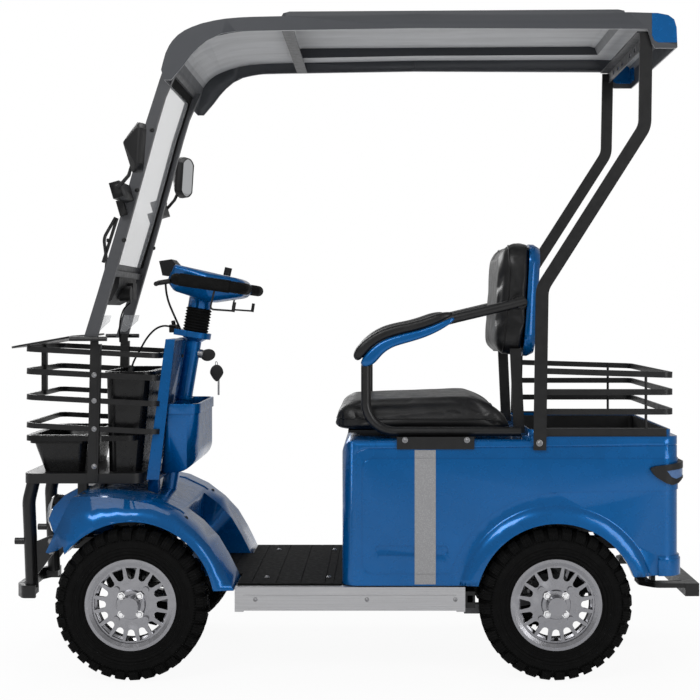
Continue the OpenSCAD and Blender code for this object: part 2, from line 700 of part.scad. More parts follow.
// Tail lamps that wrap the rear corners
lamp_side = [[-751, 530], [-754, 535], [-764, 538], [-838, 547], [-900, 550], [-900, 508], [-838, 505],
    [-824, 495], [-806, 491],
    [-790, 496], [-768, 509], [-756, 521]];
lens_side = [[-792, 527], [-838, 531], [-900, 533], [-900, 514], [-838, 511], [-818, 506], [-804, 511]];
module lamp_ring(outer, inner) difference() {
    body_plan(-outer);
    body_plan(-inner);
}
module lamp_piece(side, outer, inner, y_in) intersection() {
    translate([0, 0, 450]) linear_extrude(150) lamp_ring(outer, inner);
    across(y_in, 340) polygon(side);
}
module tail_lamps() color(satin_black) both_sides() difference() {
    lamp_piece(lamp_side, 15, panel_rise + 0.2, 205);
    lamp_piece(lens_side, 20, 9, 222);
}
module tail_lenses() color("red") both_sides() lamp_piece(lens_side, 14, 9, 222);

// Rear bumper: a deep cross bar with returned ends, on two straps
module rear_bumper() color(satin_black) {
    box_at([-896, -215, 192], [-860, 215, 225]);
    both_sides() {
        translate([0, 0, 219]) bent_bar([[-868, 198], [-790, 198], [-762, 172], [-762, 116]], 20)
            square([30, 12], center = true);
        box_at([-770, 116, 214], [-754, 144, 303]);
        box_at([-862, 116, 203], [-785, 144, 213]);
        box_at([-797, 116, 203], [-785, 144, 303]);
    }
}

// Seat
seat_front = 50;
seat_rear = -425;
back_post_y = 187;
module back_post(grow) across(back_post_y - 6 - grow, back_post_y + 6 + grow)
    polygon([[-448 - grow, rim_h + fit], [-420 + grow, rim_h + fit], [-410 + grow, 830 + grow],
        [-438 - grow, 830 + grow]]);
module seat_frame() color(satin_black) {
    both_sides() {
        box_at([-310, body_y + fit, 580], [-115, body_y + 4, 611]);
        box_at([-300, seat_w / 2 - 20, body_top_h], [-120, body_y + 4, body_top_h + 4]);
        back_post(0);
        box_at([-446, back_post_y - 6, rim_h + fit], [-300, back_post_y + 6, rim_h + 8]);
        box_at([-320, back_post_y - 6, body_top_h], [-300, back_post_y + 6, rim_h + 4]);
    }
    box_at([-320, -seat_w / 2 + 10, body_top_h], [-100, seat_w / 2 - 10, body_top_h + 4]);
    // Slide rails and the pan that the cushion sits on
    both_sides() box_at([-310, 130, body_top_h], [-20, 158, rim_h + 2]);
    box_at([-400, -seat_w / 2 + 36, rim_h + 1], [10, seat_w / 2 - 36, rim_h + 8]);
}
seat_profile = [[seat_front - 8, 624], [seat_front, 650], [seat_front - 6, 690], [seat_front - 26, 706],
    [-80, 711],
    [-303, 720], [-340, 716], [-378, 694], [-406, 656], [-414, 636], [-412, 624], [-395, 619.2],
        [seat_front - 30, 619.2]];
module seat_cushion() color([0.13, 0.13, 0.14]) intersection() {
    across(-seat_w / 2, seat_w / 2) polygon(seat_profile);
    hull() {
        translate([0, 0, 630]) linear_extrude(50) round_rect([seat_rear, -seat_w / 2], [seat_front,
            seat_w / 2], 60, $fn = 40);
        translate([0, 0, 619]) linear_extrude(102) round_rect([seat_rear + 16, -seat_w / 2 + 22],
            [seat_front - 16, seat_w / 2 - 22], 46, $fn = 40);
    }
}

back_tilt = 3.5;
module back_pose() translate([-373, 0, 811]) rotate([0, -back_tilt, 0]) children();
module back_layer(x, t, inset) translate([x, 0, 0]) rotate([0, -90, 0]) linear_extrude(t)
    round_rect([inset, -back_w / 2 + inset], [300 - inset, back_w / 2 - inset], 62 - inset, $fn = 40);
module back_cushion() color([0.13, 0.13, 0.14]) difference() {
    back_pose() union() {
        hull() {
            back_layer(0, 2, 18);
            back_layer(-22, 16, 0);
        }
        hull() {
            back_layer(-26, 2, 3);
            back_layer(-36, 36, 0);
        }
    }
    both_sides() back_post(fit);
}
module back_shell() color(blue) back_pose() hull() {
    back_layer(-72, 12, 3);
    back_layer(-90, 10, 12);
    back_layer(-100, 2, 28);
}

// Arm tubes: a loop on each side from the back, over the arm rest and down under the seat
arm_y = 262;
arm_path = [[-443, 952], [-266, 910], [-100, 868], [-37, 820], [-37, 621], [-431, 621]];
module arm_tube(d) upright(arm_y) bent_bar(arm_path, 75) circle(d = d);
module arm_frames() color(satin_black) both_sides() {
    arm_tube(arm_d);
    // Pivot into the side of the back cushion
    rod([-432, back_w / 2 + 0.1, 949], [-432, arm_y + 8, 949], 30);
    rod([-432, back_w / 2 + 0.1, 949], [-432, back_w / 2 + 8, 949], 40);
}
module arm_pads() color([0.13, 0.13, 0.14]) both_sides() difference() {
    upright(arm_y) bent_bar([[-262, 926], [-100, 886], [-20, 820]], 60) translate([0, 8]) square([20,
        50], center = true);
    arm_tube(arm_d + 2 * fit);
}
module arm_pad_bases() color(blue) both_sides() difference() {
    upright(arm_y) bent_bar([[-262, 896], [-100, 850], [-40, 800]], 60) square([10, 44], center = true);
    arm_tube(arm_d + 2 * fit);
}

// Roof: a moulded sheet with side lips that turns down at the front, and a skirt at the rear
roof_y = roof_w / 2;
roof_rear_x = -820;
sheet_t = 5;
lip_t = 6;
roof_over = [[477, 1534], [473, 1550], [466, 1575], [457, 1594], [449, 1606], [436, 1620], [419, 1632],
    [400, 1641],
    [375, 1650], [345, 1657], [315, 1662], [280, 1665], [246, 1666.5], [159, 1668.4], [-173, 1675],
        [-700, 1678],
    [-771, 1676], [-797, 1671], [-812, 1660], [-818, 1640], [roof_rear_x, 1590]];
roof_lip = [[roof_rear_x + 2, 1588], [-764, 1588], [-756, 1600], [-745, 1636], [-173, 1638], [202, 1632],
    [289, 1630], [324, 1625],
    [363, 1606], [386, 1587], [405, 1566], [423, 1542], [452, 1508], [470, 1508]];
module roof_side() polygon(concat(roof_over, roof_lip));
panel_y = 230;
module raised_side(t) polygon([[192 - t, 1660], [176 - t, 1668.2 + roof_rise - 10 - t], [160 - t,
    1668.6 + roof_rise - 6 - t],
    [-684 + t, 1678 + roof_rise - 10 - t], [-700 + t, 1678 + roof_rise - 13 - t], [-712 + t, 1665]]);
module roof_shell() color(charcoal) {
    difference() {
        union() {
            across(-roof_y, roof_y) roof_side();
            across(-panel_y, panel_y) raised_side(0);
        }
        // Underside between the lips
        across(-roof_y + lip_t, roof_y - lip_t) difference() {
            translate([0, -sheet_t]) polygon(concat([[469, 1450], [469, 1534], [465, 1550], [459, 1573]],
                [for (k = [3:16]) roof_over[k] - [4 * (k < 9 ? 1 : 0), 0]],
                [[-796, 1664], [-808, 1655], [-814, 1640], [-815, 1560]]));
            translate([-900, 1500]) square([84, 90]);
        }
        across(-panel_y + sheet_t, panel_y - sheet_t) raised_side(sheet_t);
        // The blue caps take the rear corners, and the screen's top a notch at the front
        both_sides() roof_cap(fit);
        box_at([440, -screen_y - fit, 1490], [520, screen_y + fit, 1556 + fit]);
    }
    // Beads along the lower edges of the lips
    both_sides() translate([0, roof_y - 9, 0]) rotate([90, 0, 0]) translate([0, 0, -3])
        bent_bar([[-740, 1641], [-173, 1641], [202, 1635], [289, 1633], [352, 1618]], 300) square([6, 6],
            center = true);
}
module roof_cap(grow) intersection() {
    translate([0, 0, 1500]) linear_extrude(300) difference() {
        translate([roof_rear_x - 2, 150]) square([66 + grow, 160 + grow]);
        translate([roof_rear_x + 3 + lip_t, 140]) square([100, roof_y - lip_t - 140 - 2 - grow]);
        translate([roof_rear_x - 10, 140]) square([100, roof_y - 62 - 140 - grow]);
    }
    across(100, 400) translate([0, 0]) difference() {
        polygon([[roof_rear_x - 8, 1602 - grow], [-772, 1602 - grow], [-762, 1607], [-756 + grow, 1620],
            [-754 + grow, 1640], [-754 + grow, 1700], [roof_rear_x - 8, 1700]]);
    }
    across(-roof_y - 10, roof_y + (grow > 0 ? 10 : 0)) offset(delta = grow > 0 ? 2 : 0) roof_side();
}
module roof_corners() color(blue) both_sides() roof_cap(0);

module roof_braces() color([0.45, 0.45, 0.45]) {
    box_at([145, -roof_y + lip_t + 3.2, 1633], [175, roof_y - lip_t - 3.2, 1638]);
    // Angle bar that ties the rear posts, with slots
    difference() {
        union() {
            box_at([-750, -post_in_y(1634) + 0.1, 1602], [-746, post_in_y(1634) - 0.1, 1634]);
            box_at([-750, -post_in_y(1634) + 0.1, 1630], [-722, post_in_y(1634) - 0.1, 1634]);
        }
        both_sides() for (y = [60, 130, 200]) translate([-748, y, 1617]) rotate([0, 90, 0])
            linear_extrude(20, center = true) round_rect([-6, -14], [6, 14], 5.5);
    }
}

post_path = [[-474, post_foot_h], [-481, 985], [-740, 1392], [-744, 1629]];
module roof_posts() color(satin_black) both_sides() {
    translate([0, post_y, post_foot_h]) rotate([post_lean, 0, 0]) translate([0, 0, -post_foot_h])
        upright(0) bent_bar(post_path, 60) square([32, post_t], center = true);
}

// Windscreen frame: two tapered posts, a lower band and a head bar
screen_y = screen_w / 2;
post_in = screen_y - 18;
screen_front = [[693, 852], [653, 982], [597, 1170], [564, 1290], [530, 1416], [510, 1478], [495, 1525],
    [484, 1556]];
screen_back = [[447, 1556], [461, 1525], [481, 1480], [499, 1420], [521, 1340], [560, 1200], [602, 1052],
    [660, 852]];
module ribbon(line, t) polygon(concat(line, [for (k = [len(line) - 1:-1:0]) line[k] - [t, 0]]));
module screen_frame() color(charcoal) {
    both_sides() across(post_in, screen_y) polygon(concat(screen_front, screen_back));
    // Lower band
    across(-post_in - 1, post_in + 1) polygon([[632, 1052], [639, 1029], [629, 1029], [622, 1052]]);
    across(-post_in - 1, post_in + 1) polygon([[640, 1034], [644, 1018], [622, 1018], [618, 1034]]);
    // Head bar
    across(-post_in - 1, post_in + 1) polygon([[484, 1556], [488, 1544], [464, 1544], [460, 1556]]);
}
module screen_glass() color(clear_grey) difference() {
    across(-post_in + 8, post_in - 8) ribbon([[623.6, 1052.3], [587, 1170], [554, 1290], [520, 1416],
        [500, 1478], [485, 1525], [482, 1535.7]], 3);
}
module screen_gasket() color([0.05, 0.05, 0.05]) both_sides() {
    difference() {
        across(post_in - 9, post_in - fit) translate([5, 0]) ribbon([[622, 1052.3], [587, 1170], [554,
            1290], [520, 1416], [500, 1478], [485, 1525], [478.5, 1543.7]], 13);
        across(post_in - 20, post_in - 8 + fit) translate([fit, 0]) ribbon([[623.6, 1052], [587, 1170],
            [554, 1290], [520, 1416], [500, 1478], [485, 1525], [482, 1535.7 + fit]], 3 + 2 * fit);
    }
    difference() {
        across(0, post_in - fit) translate([5, 0]) ribbon([[485, 1525], [478.5, 1543.7]], 13);
        across(-1, post_in - 8 + fit) translate([fit, 0]) ribbon([[486, 1520], [485, 1525], [482,
            1535.7 + fit]], 3 + 2 * fit);
    }
}
// Clear wings between the feet of the posts
module screen_corners() color(clear_grey) both_sides()
    across(post_in - 3.3, post_in - fit) polygon([[668, 916], [624, 916], [628, 900], [663, 868], [680,
        868]]);
module screen_clamps() color(silver) both_sides() {
    difference() {
        translate([0, screen_y + 6.3, 856]) rotate([0, 90, 0]) translate([0, 0, 630]) cylinder(h = 96,
            r = 6);
        box_at([600, 0, 840], [800, screen_y + fit, 870]);
    }
    for (x = [634, 716]) translate([x, screen_y + 6.3, 856]) rotate([0, 90, 0]) cylinder(h = 9, r = 6);
}

// Mirrors: rounded heads on stems from clamps on the screen posts
mirror_y = 368;
mirror_x = 522;
mirror_h = 1330;
module mirror_plan(inset) intersection() {
    circle(62 - inset, $fn = 64);
    translate([-45 + inset, -70]) square([90 - 2 * inset, 140]);
}
module mirror_pose() translate([mirror_x, mirror_y, mirror_h]) rotate([0, -4, -14]) rotate([0, 90, 0])
    rotate([0, 0, 90]) children();
module mirrors() color(satin_black) both_sides() {
    mirror_pose() difference() {
        hull() {
            translate([0, 0, -14]) linear_extrude(6) mirror_plan(3, $fn = 48);
            translate([0, 0, -2]) linear_extrude(10) mirror_plan(0, $fn = 48);
            translate([6, 8, 28]) scale(1) sphere(10, $fn = 24);
        }
        translate([0, 0, -20]) linear_extrude(10) mirror_plan(6, $fn = 48);
    }
    // Stem and clamp
    upright(mirror_y - 8) bent_bar([[532, 1296], [548, 1262], [574, 1232]], 20) circle(d = 9);
    translate([0, screen_y + fit, 0]) translate([561, 0, 1212]) rotate([0, 16, 0]) cube([26,
        mirror_y - 8 - screen_y, 40]);
    translate([0, screen_y + fit, 0]) translate([577, 0, 1176]) rotate([0, 16, 0]) cube([18, 16, 40]);
}
module mirror_glasses() color(silver) both_sides()
    mirror_pose() translate([0, 0, -13]) linear_extrude(2.7) mirror_plan(6.3, $fn = 48);

// Wiper: motor box and disc behind the lower band, arm and blade in front
module wiper_unit() color(satin_black) {
    difference() {
        across(-118, 118) polygon([[640, 1017.7], [618, 1017.7], [622, 990], [640, 956], [664, 944],
            [660, 968], [648, 1000]]);
    }
    translate([604, 30, 974]) rotate([0, 90, 0]) cylinder(h = 30, r = 21);
    box_at([606, -60, 960], [632, -6, 1004]);
    // Arm and blade
    translate([0, 62, 0]) {
        rod([640, 0, 1008], [668, 0, 1020], 12);
        upright() bent_bar([[668, 1012], [664, 1060], [672, 1124], [640, 1180]], 40) square([6, 14],
            center = true);
        upright() bent_bar([[674, 1058], [636, 1178]], 10) square([8, 5], center = true);
        rod([664, 0, 1118], [656, 0, 1118], 10);
    }
}

// Axles
beam_r = 20;
module front_axle() color(satin_black) {
    translate([front_x, 0, wheel_r]) rotate([90, 0, 0]) cylinder(h = 2 * kingpin_y - 80, r = beam_r,
        center = true);
    both_sides() difference() {
        union() {
            box_at([front_x - 16, kingpin_y - 50, wheel_r - 60], [front_x + 16, kingpin_y - 30,
                wheel_r + 60]);
            for (z = [wheel_r - 60, wheel_r + kingpin_h / 2 + 4]) {
                box_at([front_x - 16, kingpin_y - 31, z], [front_x + 16, kingpin_y, z + 14]);
                translate([front_x, kingpin_y, z]) cylinder(h = 14, r = 16);
            }
        }
        translate([front_x, kingpin_y, wheel_r - 100]) cylinder(h = 200, r = 8 + run_fit);
    }
    // Stays that tie the beam to the rails
    both_sides() rod([front_x, 92, wheel_r], [684, 92, 312], 22);
}
module rear_axle() color(satin_black) {
    translate([rear_x, 0, wheel_r]) rotate([90, 0, 0]) cylinder(h = 2 * wheel_y - 90, r = 24,
        center = true);
    translate([rear_x, 0, wheel_r]) rotate([90, 0, 0]) cylinder(h = 130, r = 62, center = true);
    translate([rear_x, 120, wheel_r]) rotate([90, 0, 0]) cylinder(h = 90, r = 50, center = true);
    both_sides() {
        translate([rear_x, wheel_y - 46, wheel_r]) rotate([-90, 0, 0]) cylinder(h = 76, r = stub_r);
        upright(200) bent_bar([[sill_rear - 3, 158.7], [sill_rear - 43, 158.7], [rear_x, wheel_r]], 60)
            square([26, 16], center = true);
    }
}
module spring(lo, hi, coils, r) {
    rod(lo, hi, 14);
    rod(lo + (hi - lo) * 0.15, lo + (hi - lo) * 0.85, 2 * r);
}
module shock_absorbers() color([0.3, 0.3, 0.32]) both_sides() {
    spring([front_x, 171, wheel_r + beam_r + fit], [531, 171, 394], 8, 20);
    spring([rear_x + 60, 200, 208], [rear_x + 69, 190, 394], 8, 20);
}
module battery() color([0.2, 0.2, 0.22]) box_at([-380, -100, floor_h], [-20, 100, 420]);

// Steering
module steering_shaft() color(satin_black) {
    steering_axis(axis_h) {
        translate([0, 0, -596]) cylinder(h = 676, r = shaft_r);
        // Rubber bellows
        translate([0, 0, 18 + fit]) rotate_extrude() polygon(concat([[0, 0]],
            [for (i = [0:7]) for (q = [[31, 0], [35, 3.2], [35, 4.8], [31, 8]]) [q[0], q[1] + i * 8]],
                [[32, 64.5], [0, 64.5]]));
        // Drop arm whose fork holds the pin of the tie rod
        difference() {
            translate([-88, -14, -599]) cube([102, 28, 9]);
            translate([-92, -9.5, -600]) cube([24, 19, 12]);
        }
    }
}
pod_rows = [[[311, 60, 988], 26], [[318, 76, 1003], 14], [[385, 52, 982], 31], [[392, 96, 1018], 12],
    [[470, 52, 1002], 24],
    [[472, 78, 1042], 10], [[486, 60, 1010], 14]];
module tiller_head() color(blue) {
    steering_axis(axis_h) translate([0, 0, 83.3]) cylinder(h = 60, r = 31.5);
    pod();
}
module pod() hull() for (q = pod_rows) for (m = [-1, 1]) translate([q[0][0], m * q[0][1], q[0][2]])
    sphere(q[1], $fn = 20);
// Wrap-round grips
grip_d = 30;
module grip_pose() translate([460, 0, 1011]) rotate([0, -8.2, 0]) children();
module tiller_grips() color(satin_black) both_sides() difference() {
    grip_pose() {
        bent_bar([[-6, 60], [-4, 236], [-180, 250], [-180, 120], [-150, 60]], 42) circle(d = grip_d);
        bent_bar([[-20, 243], [-150, 247]], 10) circle(d = grip_d + 3);
    }
    pod();
}
module tiller_controls() color(satin_black) {
    // Display wedge
    across(-46, 46) polygon([[526, 1063], [492, 1068], [480, 1053.5], [481.4, 1046.1], [495.3, 1022.2],
        [517, 1024], [521, 1042]]);
    // Speed knob
    translate([344, 34, 1023.7]) rotate([0, -12.8, 0]) cylinder(h = 22, r = 10);
    // Thumb levers below the grips
    both_sides() {
        upright(246) bent_bar([[351, 978.3], [362, 932], [304, 928]], 8) circle(d = 5);
        rod([303, 246, 925], [299, 246, 950], 9);
    }
    // Brake lever ahead of the near grip
    difference() {
        rod([458, 207, 1007], [498, 217, 1000], 13);
        grip_pose() rod([-6, 60, 0], [-4, 300, 0], grip_d + 0.2);
    }
    rod([498, 217, 1000], [501, 240, 997], 12);
}

module knuckle() {
    difference() {
        union() {
            translate([front_x, kingpin_y, wheel_r - kingpin_h / 2]) cylinder(h = kingpin_h,
                r = kingpin_r);
            translate([front_x, kingpin_y, wheel_r]) rotate([-90, 0, 0]) cylinder(h = 19, r = 14);
            translate([front_x, kingpin_y, wheel_r]) rotate([-90, 0, 0]) cylinder(h = 74, r = stub_r);
            translate([front_x, kingpin_y, wheel_r + 30]) linear_extrude(10)
                polygon([[0, 10], [-arm_back - 9, 8 - arm_in], [-arm_back - 9, -9 - arm_in], [0, -14]]);
        }
    }
    translate([front_x, kingpin_y, wheel_r - 60]) cylinder(h = 120, r = 8);
}
module knuckle_left() color(satin_black) knuckle();
module knuckle_right() color(satin_black) mirror([0, 1, 0]) knuckle();
rod_h = wheel_r + 50;
module tie_rod() color(silver) {
    translate([front_x - arm_back, 0, rod_h]) rotate([90, 0, 0])
        cylinder(h = 2 * (kingpin_y - arm_in), r = 6, center = true);
    for (y = [kingpin_y - arm_in, arm_in - kingpin_y])
        translate([front_x - arm_back, y, wheel_r + 40 + fit]) cylinder(h = 18, r = 9);
    translate([front_x - arm_back, 0, rod_h]) cylinder(h = 30, r = 4);
}

// Wheels, drawn about a local axis that points outboard
rim_half = 36;
seat_r = rim_r - 12.8;
module rim() {
    difference() {
        union() {
            rotate_extrude($fn = 64) polygon([[seat_r, 32.5], [rim_r, 32.5], [rim_r, rim_half],
                [rim_r - 8, rim_half],
                [seat_r - 4.2, 33], [seat_r - 4.2, 16], [seat_r - 13.7, 11], [seat_r - 13.7, -11],
                    [seat_r - 4.2, -16],
                [seat_r - 4.2, -33], [rim_r - 8, -rim_half], [rim_r, -rim_half], [rim_r, -32.5], [seat_r,
                    -32.5],
                [seat_r, -17], [seat_r - 9.7, -12], [seat_r - 9.7, 12], [seat_r, 17]]);
            translate([0, 0, 20]) cylinder(h = 7, r = seat_r - 2);
            translate([0, 0, -18]) cylinder(h = 40, r = 28);
            translate([0, 0, 26]) cylinder(h = 8, r1 = 38, r2 = 35);
            translate([0, 0, 33]) cylinder(h = 25, r1 = 26, r2 = 23);
        }
        for (i = [0:slot_count - 1]) rotate([0, 0, i * 360 / slot_count]) translate([0, 0, 18])
            linear_extrude(12) {
            translate([72, 0]) circle(d = 18);
            polygon([[72, -9], [92, -14.5], [92, 14.5], [72, 9]]);
        }
        translate([0, 0, -50]) cylinder(h = 94, r = stub_r + run_fit);
    }
    for (i = [0:3]) rotate([0, 0, 45 + i * 90]) translate([52, 0, 26]) cylinder(h = 8, r = 8);
}
tread_r = wheel_r - lug_h;
half_w = tyre_w / 2;
lug_share = 0.62;
lug_run = lug_share * 2 * PI * wheel_r / lug_count;
lug_r = sqrt(wheel_r * wheel_r - lug_run * lug_run / 4);
module tyre() {
    rotate_extrude($fn = 48) polygon([[seat_r + 0.2, -32.2], [rim_r + 0.4, -32.2], [rim_r + 0.4,
        -half_w + 7], [134, -half_w],
        [160, -half_w + 1], [176, -half_w + 9], [tread_r, -20], [tread_r, 20], [176, half_w - 9],
        [160, half_w - 1], [134, half_w], [rim_r + 0.4, half_w - 7], [rim_r + 0.4, 32.2], [seat_r + 0.2,
            32.2]]);
    step = 360 / lug_count;
    for (i = [0:lug_count - 1]) for (s = [-1, 1])
        rotate([0, 0, (i + s / 4) * step]) rotate([90, 0, 0]) linear_extrude(lug_run, center = true)
            polygon([[tread_r - 14, s * 3], [lug_r, s * 3], [lug_r - 1, s * 24], [lug_r - 9,
                s * (half_w - 4)],
                     [166, s * half_w], [162, s * (half_w - 12)]]);
}
module at_wheel(x, side) mirror([0, side > 0 ? 0 : 1, 0]) translate([x, wheel_y, wheel_r]) rotate([-90,
    0, 0]) children();
module rim_front_left() color(silver) at_wheel(front_x, 1) rim();
module rim_front_right() color(silver) at_wheel(front_x, -1) rim();
module rim_rear_left() color(silver) at_wheel(rear_x, 1) rim();
module rim_rear_right() color(silver) at_wheel(rear_x, -1) rim();
module tyre_front_left() color(rubber_black) at_wheel(front_x, 1) tyre();
module tyre_front_right() color(rubber_black) at_wheel(front_x, -1) tyre();
module tyre_rear_left() color(rubber_black) at_wheel(rear_x, 1) tyre();
module tyre_rear_right() color(rubber_black) at_wheel(rear_x, -1) tyre();

frame();
deck_mat();
side_rails();
front_body();
leg_shield();
knee_bin();
column_tube();
headlamp();
headlamp_lens();
front_bumper();
basket_frame();
basket_tubs();
wind_shelf();
rear_body();
cargo_liner();
cargo_rack();
side_stripes();
tail_lamps();
tail_lenses();
rear_bumper();
seat_frame();
seat_cushion();
back_cushion();
back_shell();
arm_frames();
arm_pads();
arm_pad_bases();
roof_shell();
roof_corners();
roof_braces();
roof_posts();
screen_frame();
screen_glass();
screen_gasket();
screen_corners();
screen_clamps();
mirrors();
mirror_glasses();
wiper_unit();
front_axle();
rear_axle();
shock_absorbers();
battery();
steering_shaft();
tiller_head();
tiller_grips();
tiller_controls();
knuckle_left();
knuckle_right();
tie_rod();
rim_front_left();
rim_front_right();
rim_rear_left();
rim_rear_right();
tyre_front_left();
tyre_front_right();
tyre_rear_left();
tyre_rear_right();
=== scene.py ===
"""Looks of a four-wheeled mobility scooter with a roof, a windscreen, a front basket and a cargo box."""

import json
import math

import bmesh
import bpy
from mathutils import Matrix, Vector
from mathutils.bvhtree import BVHTree

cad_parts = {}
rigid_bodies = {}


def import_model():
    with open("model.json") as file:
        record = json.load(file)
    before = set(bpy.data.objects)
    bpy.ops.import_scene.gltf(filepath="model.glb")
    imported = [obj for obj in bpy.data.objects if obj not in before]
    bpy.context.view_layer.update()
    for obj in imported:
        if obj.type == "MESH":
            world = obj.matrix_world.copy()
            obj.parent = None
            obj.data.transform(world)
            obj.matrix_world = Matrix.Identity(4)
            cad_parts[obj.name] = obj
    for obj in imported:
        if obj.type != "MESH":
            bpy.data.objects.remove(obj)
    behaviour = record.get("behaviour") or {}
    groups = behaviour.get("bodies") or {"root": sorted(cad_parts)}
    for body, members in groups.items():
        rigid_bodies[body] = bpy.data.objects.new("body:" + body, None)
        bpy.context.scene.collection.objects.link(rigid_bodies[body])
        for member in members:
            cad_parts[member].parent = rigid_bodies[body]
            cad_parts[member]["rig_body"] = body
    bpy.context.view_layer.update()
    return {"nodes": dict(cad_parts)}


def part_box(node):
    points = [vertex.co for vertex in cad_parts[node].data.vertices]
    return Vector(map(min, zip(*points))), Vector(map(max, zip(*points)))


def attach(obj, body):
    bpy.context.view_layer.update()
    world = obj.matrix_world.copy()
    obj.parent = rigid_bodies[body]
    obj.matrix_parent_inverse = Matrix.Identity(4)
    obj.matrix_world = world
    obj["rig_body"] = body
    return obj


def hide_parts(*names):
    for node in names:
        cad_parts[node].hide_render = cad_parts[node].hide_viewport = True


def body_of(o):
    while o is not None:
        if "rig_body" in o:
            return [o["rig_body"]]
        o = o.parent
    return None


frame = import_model()
NODES = frame["nodes"]
scene = bpy.context.scene

# Camera: it stands level with the handle, looks along -Y, and its picture is cropped off centre
PICTURE = 700
FOCAL_PX = 1332
AXIS_PX = (385, 312)
EYE = Vector((-0.0855, 3.65, 0.925))
SENSOR = 36
VIEW_REACH = 60


def placed(name, data):
    """A new object in the scene."""
    made = bpy.data.objects.new(name, data)
    scene.collection.objects.link(made)
    return made


def add_camera():
    data = bpy.data.cameras.new("main_camera")
    data.sensor_width = SENSOR
    data.lens = SENSOR * FOCAL_PX / PICTURE
    data.shift_x = (PICTURE / 2 - AXIS_PX[0]) / PICTURE
    data.shift_y = (AXIS_PX[1] - PICTURE / 2) / PICTURE
    data.clip_end = VIEW_REACH
    camera = placed("main_camera", data)
    camera.location = EYE
    camera.rotation_euler = (math.radians(90), 0, math.radians(180))
    scene.camera = camera


def on_photo(px, py, depth):
    """The point at that depth (Y, metres) behind a picture position."""
    scale = (EYE.y - depth) / FOCAL_PX
    return Vector((EYE.x + (AXIS_PX[0] - px) * scale, depth, EYE.z - (py - AXIS_PX[1]) * scale))


add_camera()


# Materials
def linear(red, green, blue):
    """A colour of 0 to 255 a channel, as linear shares."""
    out = []
    for value in (red, green, blue):
        share = value / 255
        out.append(share / 12.92 if share <= 0.04045 else ((share + 0.055) / 1.055) ** 2.4)
    return out


class Shader:
    """One node material: a base colour with broad and fine variation, roughness wear and bump."""

    def __init__(self, name):
        self.material = bpy.data.materials.new(name)
        self.material.use_nodes = True
        self.tree = self.material.node_tree
        self.body = self.tree.nodes["Principled BSDF"]
        self.coords = self.tree.nodes.new("ShaderNodeTexCoord").outputs["Object"]

    def node(self, kind, **values):
        made = self.tree.nodes.new(kind)
        for key, value in values.items():
            setattr(made, key, value)
        return made

    def join(self, out, into):
        self.tree.links.new(out, into)

    def stretched(self, scale, shift=(0, 0, 0)):
        """Object coordinates with another scale along each axis."""
        made = self.node("ShaderNodeMapping")
        made.inputs["Scale"].default_value = scale
        made.inputs["Location"].default_value = shift
        self.join(self.coords, made.inputs["Vector"])
        return made.outputs["Vector"]

    def noise(self, scale, detail=4.0, vector=None, rough=0.55):
        made = self.node("ShaderNodeTexNoise")
        made.inputs["Scale"].default_value = scale
        made.inputs["Detail"].default_value = detail
        made.inputs["Roughness"].default_value = rough
        self.join(vector or self.coords, made.inputs["Vector"])
        return made.outputs["Fac"]

    def cells(self, scale, feature="F1"):
        made = self.node("ShaderNodeTexVoronoi", feature=feature)
        made.inputs["Scale"].default_value = scale
        self.join(self.coords, made.inputs["Vector"])
        return made.outputs["Distance"]

    def remap(self, value, low, high, to_low, to_high):
        made = self.node("ShaderNodeMapRange")
        for key, number in (("From Min", low), ("From Max", high), ("To Min", to_low), ("To Max", to_high)):
            made.inputs[key].default_value = number
        self.join(value, made.inputs["Value"])
        return made.outputs["Result"]

    def math(self, operation, first, second=0.0):
        made = self.node("ShaderNodeMath", operation=operation)
        for place, value in ((0, first), (1, second)):
            if isinstance(value, (int, float)):
                made.inputs[place].default_value = value
            else:
                self.join(value, made.inputs[place])
        return made.outputs["Value"]

    def mixed(self, factor, first, second):
        made = self.node("ShaderNodeMix", data_type="RGBA")
        self.join(factor, made.inputs["Factor"])
        for place, colour in ((6, first), (7, second)):
            if isinstance(colour, (list, tuple)):
                made.inputs[place].default_value = (*colour[:3], 1)
            else:
                self.join(colour, made.inputs[place])
        return made.outputs[2]

    def bump(self, height, strength, distance=0.001, under=None):
        made = self.node("ShaderNodeBump")
        made.inputs["Strength"].default_value = strength
        made.inputs["Distance"].default_value = distance
        self.join(height, made.inputs["Height"])
        if under is not None:
            self.join(under, made.inputs["Normal"])
        return made.outputs["Normal"]

    def finish(self, colour, rough, metal=0.0, normal=None, **more):
        inputs = self.body.inputs
        if isinstance(colour, (list, tuple)):
            inputs["Base Color"].default_value = (*colour[:3], 1)
        else:
            self.join(colour, inputs["Base Color"])
        if isinstance(rough, (int, float)):
            inputs["Roughness"].default_value = rough
        else:
            self.join(rough, inputs["Roughness"])
        inputs["Metallic"].default_value = metal
        if normal is not None:
            self.join(normal, inputs["Normal"])
        for key, value in more.items():
            inputs[key.replace("_", " ")].default_value = value
        return self.material


def shaded(colour, change):
    return [max(0.0, min(1.0, value * change)) for value in colour]


FLAKE_SCALE = 1800
EDGE_ROUND = 0.0035


